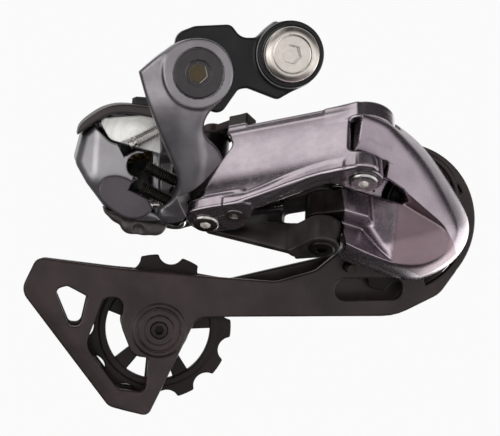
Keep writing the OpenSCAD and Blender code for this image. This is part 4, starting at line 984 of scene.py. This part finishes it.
KEPT_NODES = {
    "pin_steel": ["cover_screws", "outer_link_pin_b", "outer_link_pin_p", "stop_rivet", "inner_link_pin_b",
                  "cage_axle"],
    "screw_black": ["inner_link_pin_p", "cage_stop_pin", "guide_pulley_bolt", "tension_pulley_bolt"],
    "bush_bronze": ["axle_bushing", "guide_pulley_bushing", "tension_pulley_bushing"],
    "rubber_black": ["axle_dust_ring", "cable_plug", "cage_axle_seal"],
    "gear_brass": ["motor_pinion", "drive_sector"],
    "bolt_dark": ["guide_pulley_caps", "tension_pulley_caps"],
    "guard_brown": ["housing_rear_cover"], "motor_steel": ["drive_motor"], "board_green": ["circuit_board"],
    "spring_black": ["outer_pin_clips"],
}
EDGE_RADIUS, OWN_EDGE_RADIUS = 0.15, {"housing_rear_cover": 0.5, "cable_plug": 0.4}
for look, names in KEPT_NODES.items():
    for name in names:
        node = frame["nodes"][name]
        node.modifiers.new("weld", "WELD").merge_threshold = 1e-6
        bevel = node.modifiers.new("bevel", "BEVEL")
        bevel.width = OWN_EDGE_RADIUS.get(name, EDGE_RADIUS) * MM
        bevel.segments = 2
        bevel.limit_method = "ANGLE"
        bevel.angle_limit = math.radians(38)
        node.modifiers.new("normals", "WEIGHTED_NORMAL")
        finish(node, look)

# ---- stage ----

TARGET, BACKWARD = Vector((-10.99, 0, -48.84)) * MM, Vector((-0.1212, -0.9875, 0.1011)).normalized()
CAMERA_DISTANCE = 0.485
WHITE = (0.96, 0.96, 0.96)
camera = bpy.data.objects.new("camera", bpy.data.cameras.new("camera"))
camera.data.lens, camera.data.sensor_width = 116.4, 36
camera.location = TARGET + BACKWARD * CAMERA_DISTANCE
camera.rotation_euler = BACKWARD.to_track_quat("Z", "Y").to_euler()
camera.data.clip_start = 0.02
bpy.context.scene.collection.objects.link(camera)
bpy.context.scene.camera = camera


def pale(tree, bsdf):
    """Pale and plain; away from the object it fades to the backdrop's own white."""
    tone = ramp(tree, noise(tree, 0.004, 3), (0.3, 0.0), (0.7, 1.0))
    feed(tree, bsdf, {"Base Color": mix(tree, tone, (0.8, 0.8, 0.8), (0.84, 0.84, 0.84)), "Roughness": 0.8,
                      "Specular IOR Level": 0.1})
    length = add(tree, "VectorMath", {0: own_place(tree)}, operation="LENGTH").outputs["Value"]
    far = add(tree, "MapRange", {"From Min": 0.04, "From Max": 0.2, "To Min": 0.55, "Value": length})
    seen = add(tree, "LightPath").outputs["Is Camera Ray"]
    share = add(tree, "Math", {0: far.outputs["Result"], 1: seen}, operation="MULTIPLY")
    glow = add(tree, "Emission", {"Color": (*WHITE, 1)})
    blend = add(tree, "MixShader", {0: share.outputs[0], 1: bsdf.outputs[0], 2: glow.outputs[0]})
    feed(tree, tree.nodes["Material Output"], {"Surface": blend.outputs[0]})


# The floor lies low enough for the cage to swing down in every pose
FLOOR_DROP, FLOOR_HALF = 0.12, 4
low = cad_box[0][2] - FLOOR_DROP
floor = bpy.data.meshes.new("floor")
floor.from_pydata([(sx * FLOOR_HALF, sy * FLOOR_HALF, low) for sx, sy in ((-1, -1), (1, -1), (1, 1), (-1, 1))],
                  [], [(0, 1, 2, 3)])
floor = bpy.data.objects.new("floor", floor)
bpy.context.scene.collection.objects.link(floor)
floor.visible_glossy = False
floor.data.materials.append(material("pale_floor", pale))

# The studio: soft panels painted on the world as (direction, strength, full within degrees, gone at degrees)
PANELS = [((0.1, -0.99, 0.06), 0.95, 5, 60), ((-0.56, 0.02, 0.83), 1.55, 3, 24), ((-0.8, -0.6, 0.02), 1.9, 12, 33),
          ((0.85, -0.35, -0.22), 1.3, 8, 40), ((0.65, 0.6, -0.45), 2.4, 8, 40), ((0.15, 0.95, 0.3), 0.7, 15, 60)]
world = bpy.data.worlds.new("studio")
bpy.context.scene.world = world
world.use_nodes = True
tree = world.node_tree
around = add(tree, "TexCoord").outputs["Generated"]
total = 0.03
for direction, strength, full, gone in PANELS:
    dot = add(tree, "VectorMath", {0: around, 1: Vector(direction).normalized()}, operation="DOT_PRODUCT")
    inputs = {"Value": dot.outputs["Value"], "From Min": math.cos(math.radians(gone)),
              "From Max": math.cos(math.radians(full)), "To Max": strength}
    soft = add(tree, "MapRange", inputs, interpolation_type="SMOOTHSTEP")
    total = add(tree, "Math", {0: soft.outputs["Result"], 1: total}).outputs[0]
seen = add(tree, "LightPath").outputs["Is Camera Ray"]
feed(tree, tree.nodes["Background"], {"Color": mix(tree, seen, total, WHITE)})


def lamp(name, at, size, power):
    data = bpy.data.lights.new(name, "AREA")
    data.shape, data.size, data.size_y = "RECTANGLE", size[0], size[1]
    data.energy = power
    light = bpy.data.objects.new(name, data)
    light.location = TARGET + Vector(at)
    light.rotation_euler = Vector(at).to_track_quat("Z", "Y").to_euler()
    light.visible_glossy = False
    bpy.context.scene.collection.objects.link(light)


lamp("key", (-0.6, -0.45, 0.75), (0.4, 0.3), 9)
lamp("right", (0.8, -0.5, 0.1), (0.4, 0.5), 3)
bpy.context.scene.view_settings.view_transform = "Standard"
# These would show as dark blots in the glossy link
for name in ("bracket_knuckle", "hanger_bracket", "axle_screw", "hanger_screw"):
    bpy.data.objects[name].visible_glossy = False
for name in ("axle_bushing", "axle_dust_ring"):
    frame["nodes"][name].visible_glossy = False
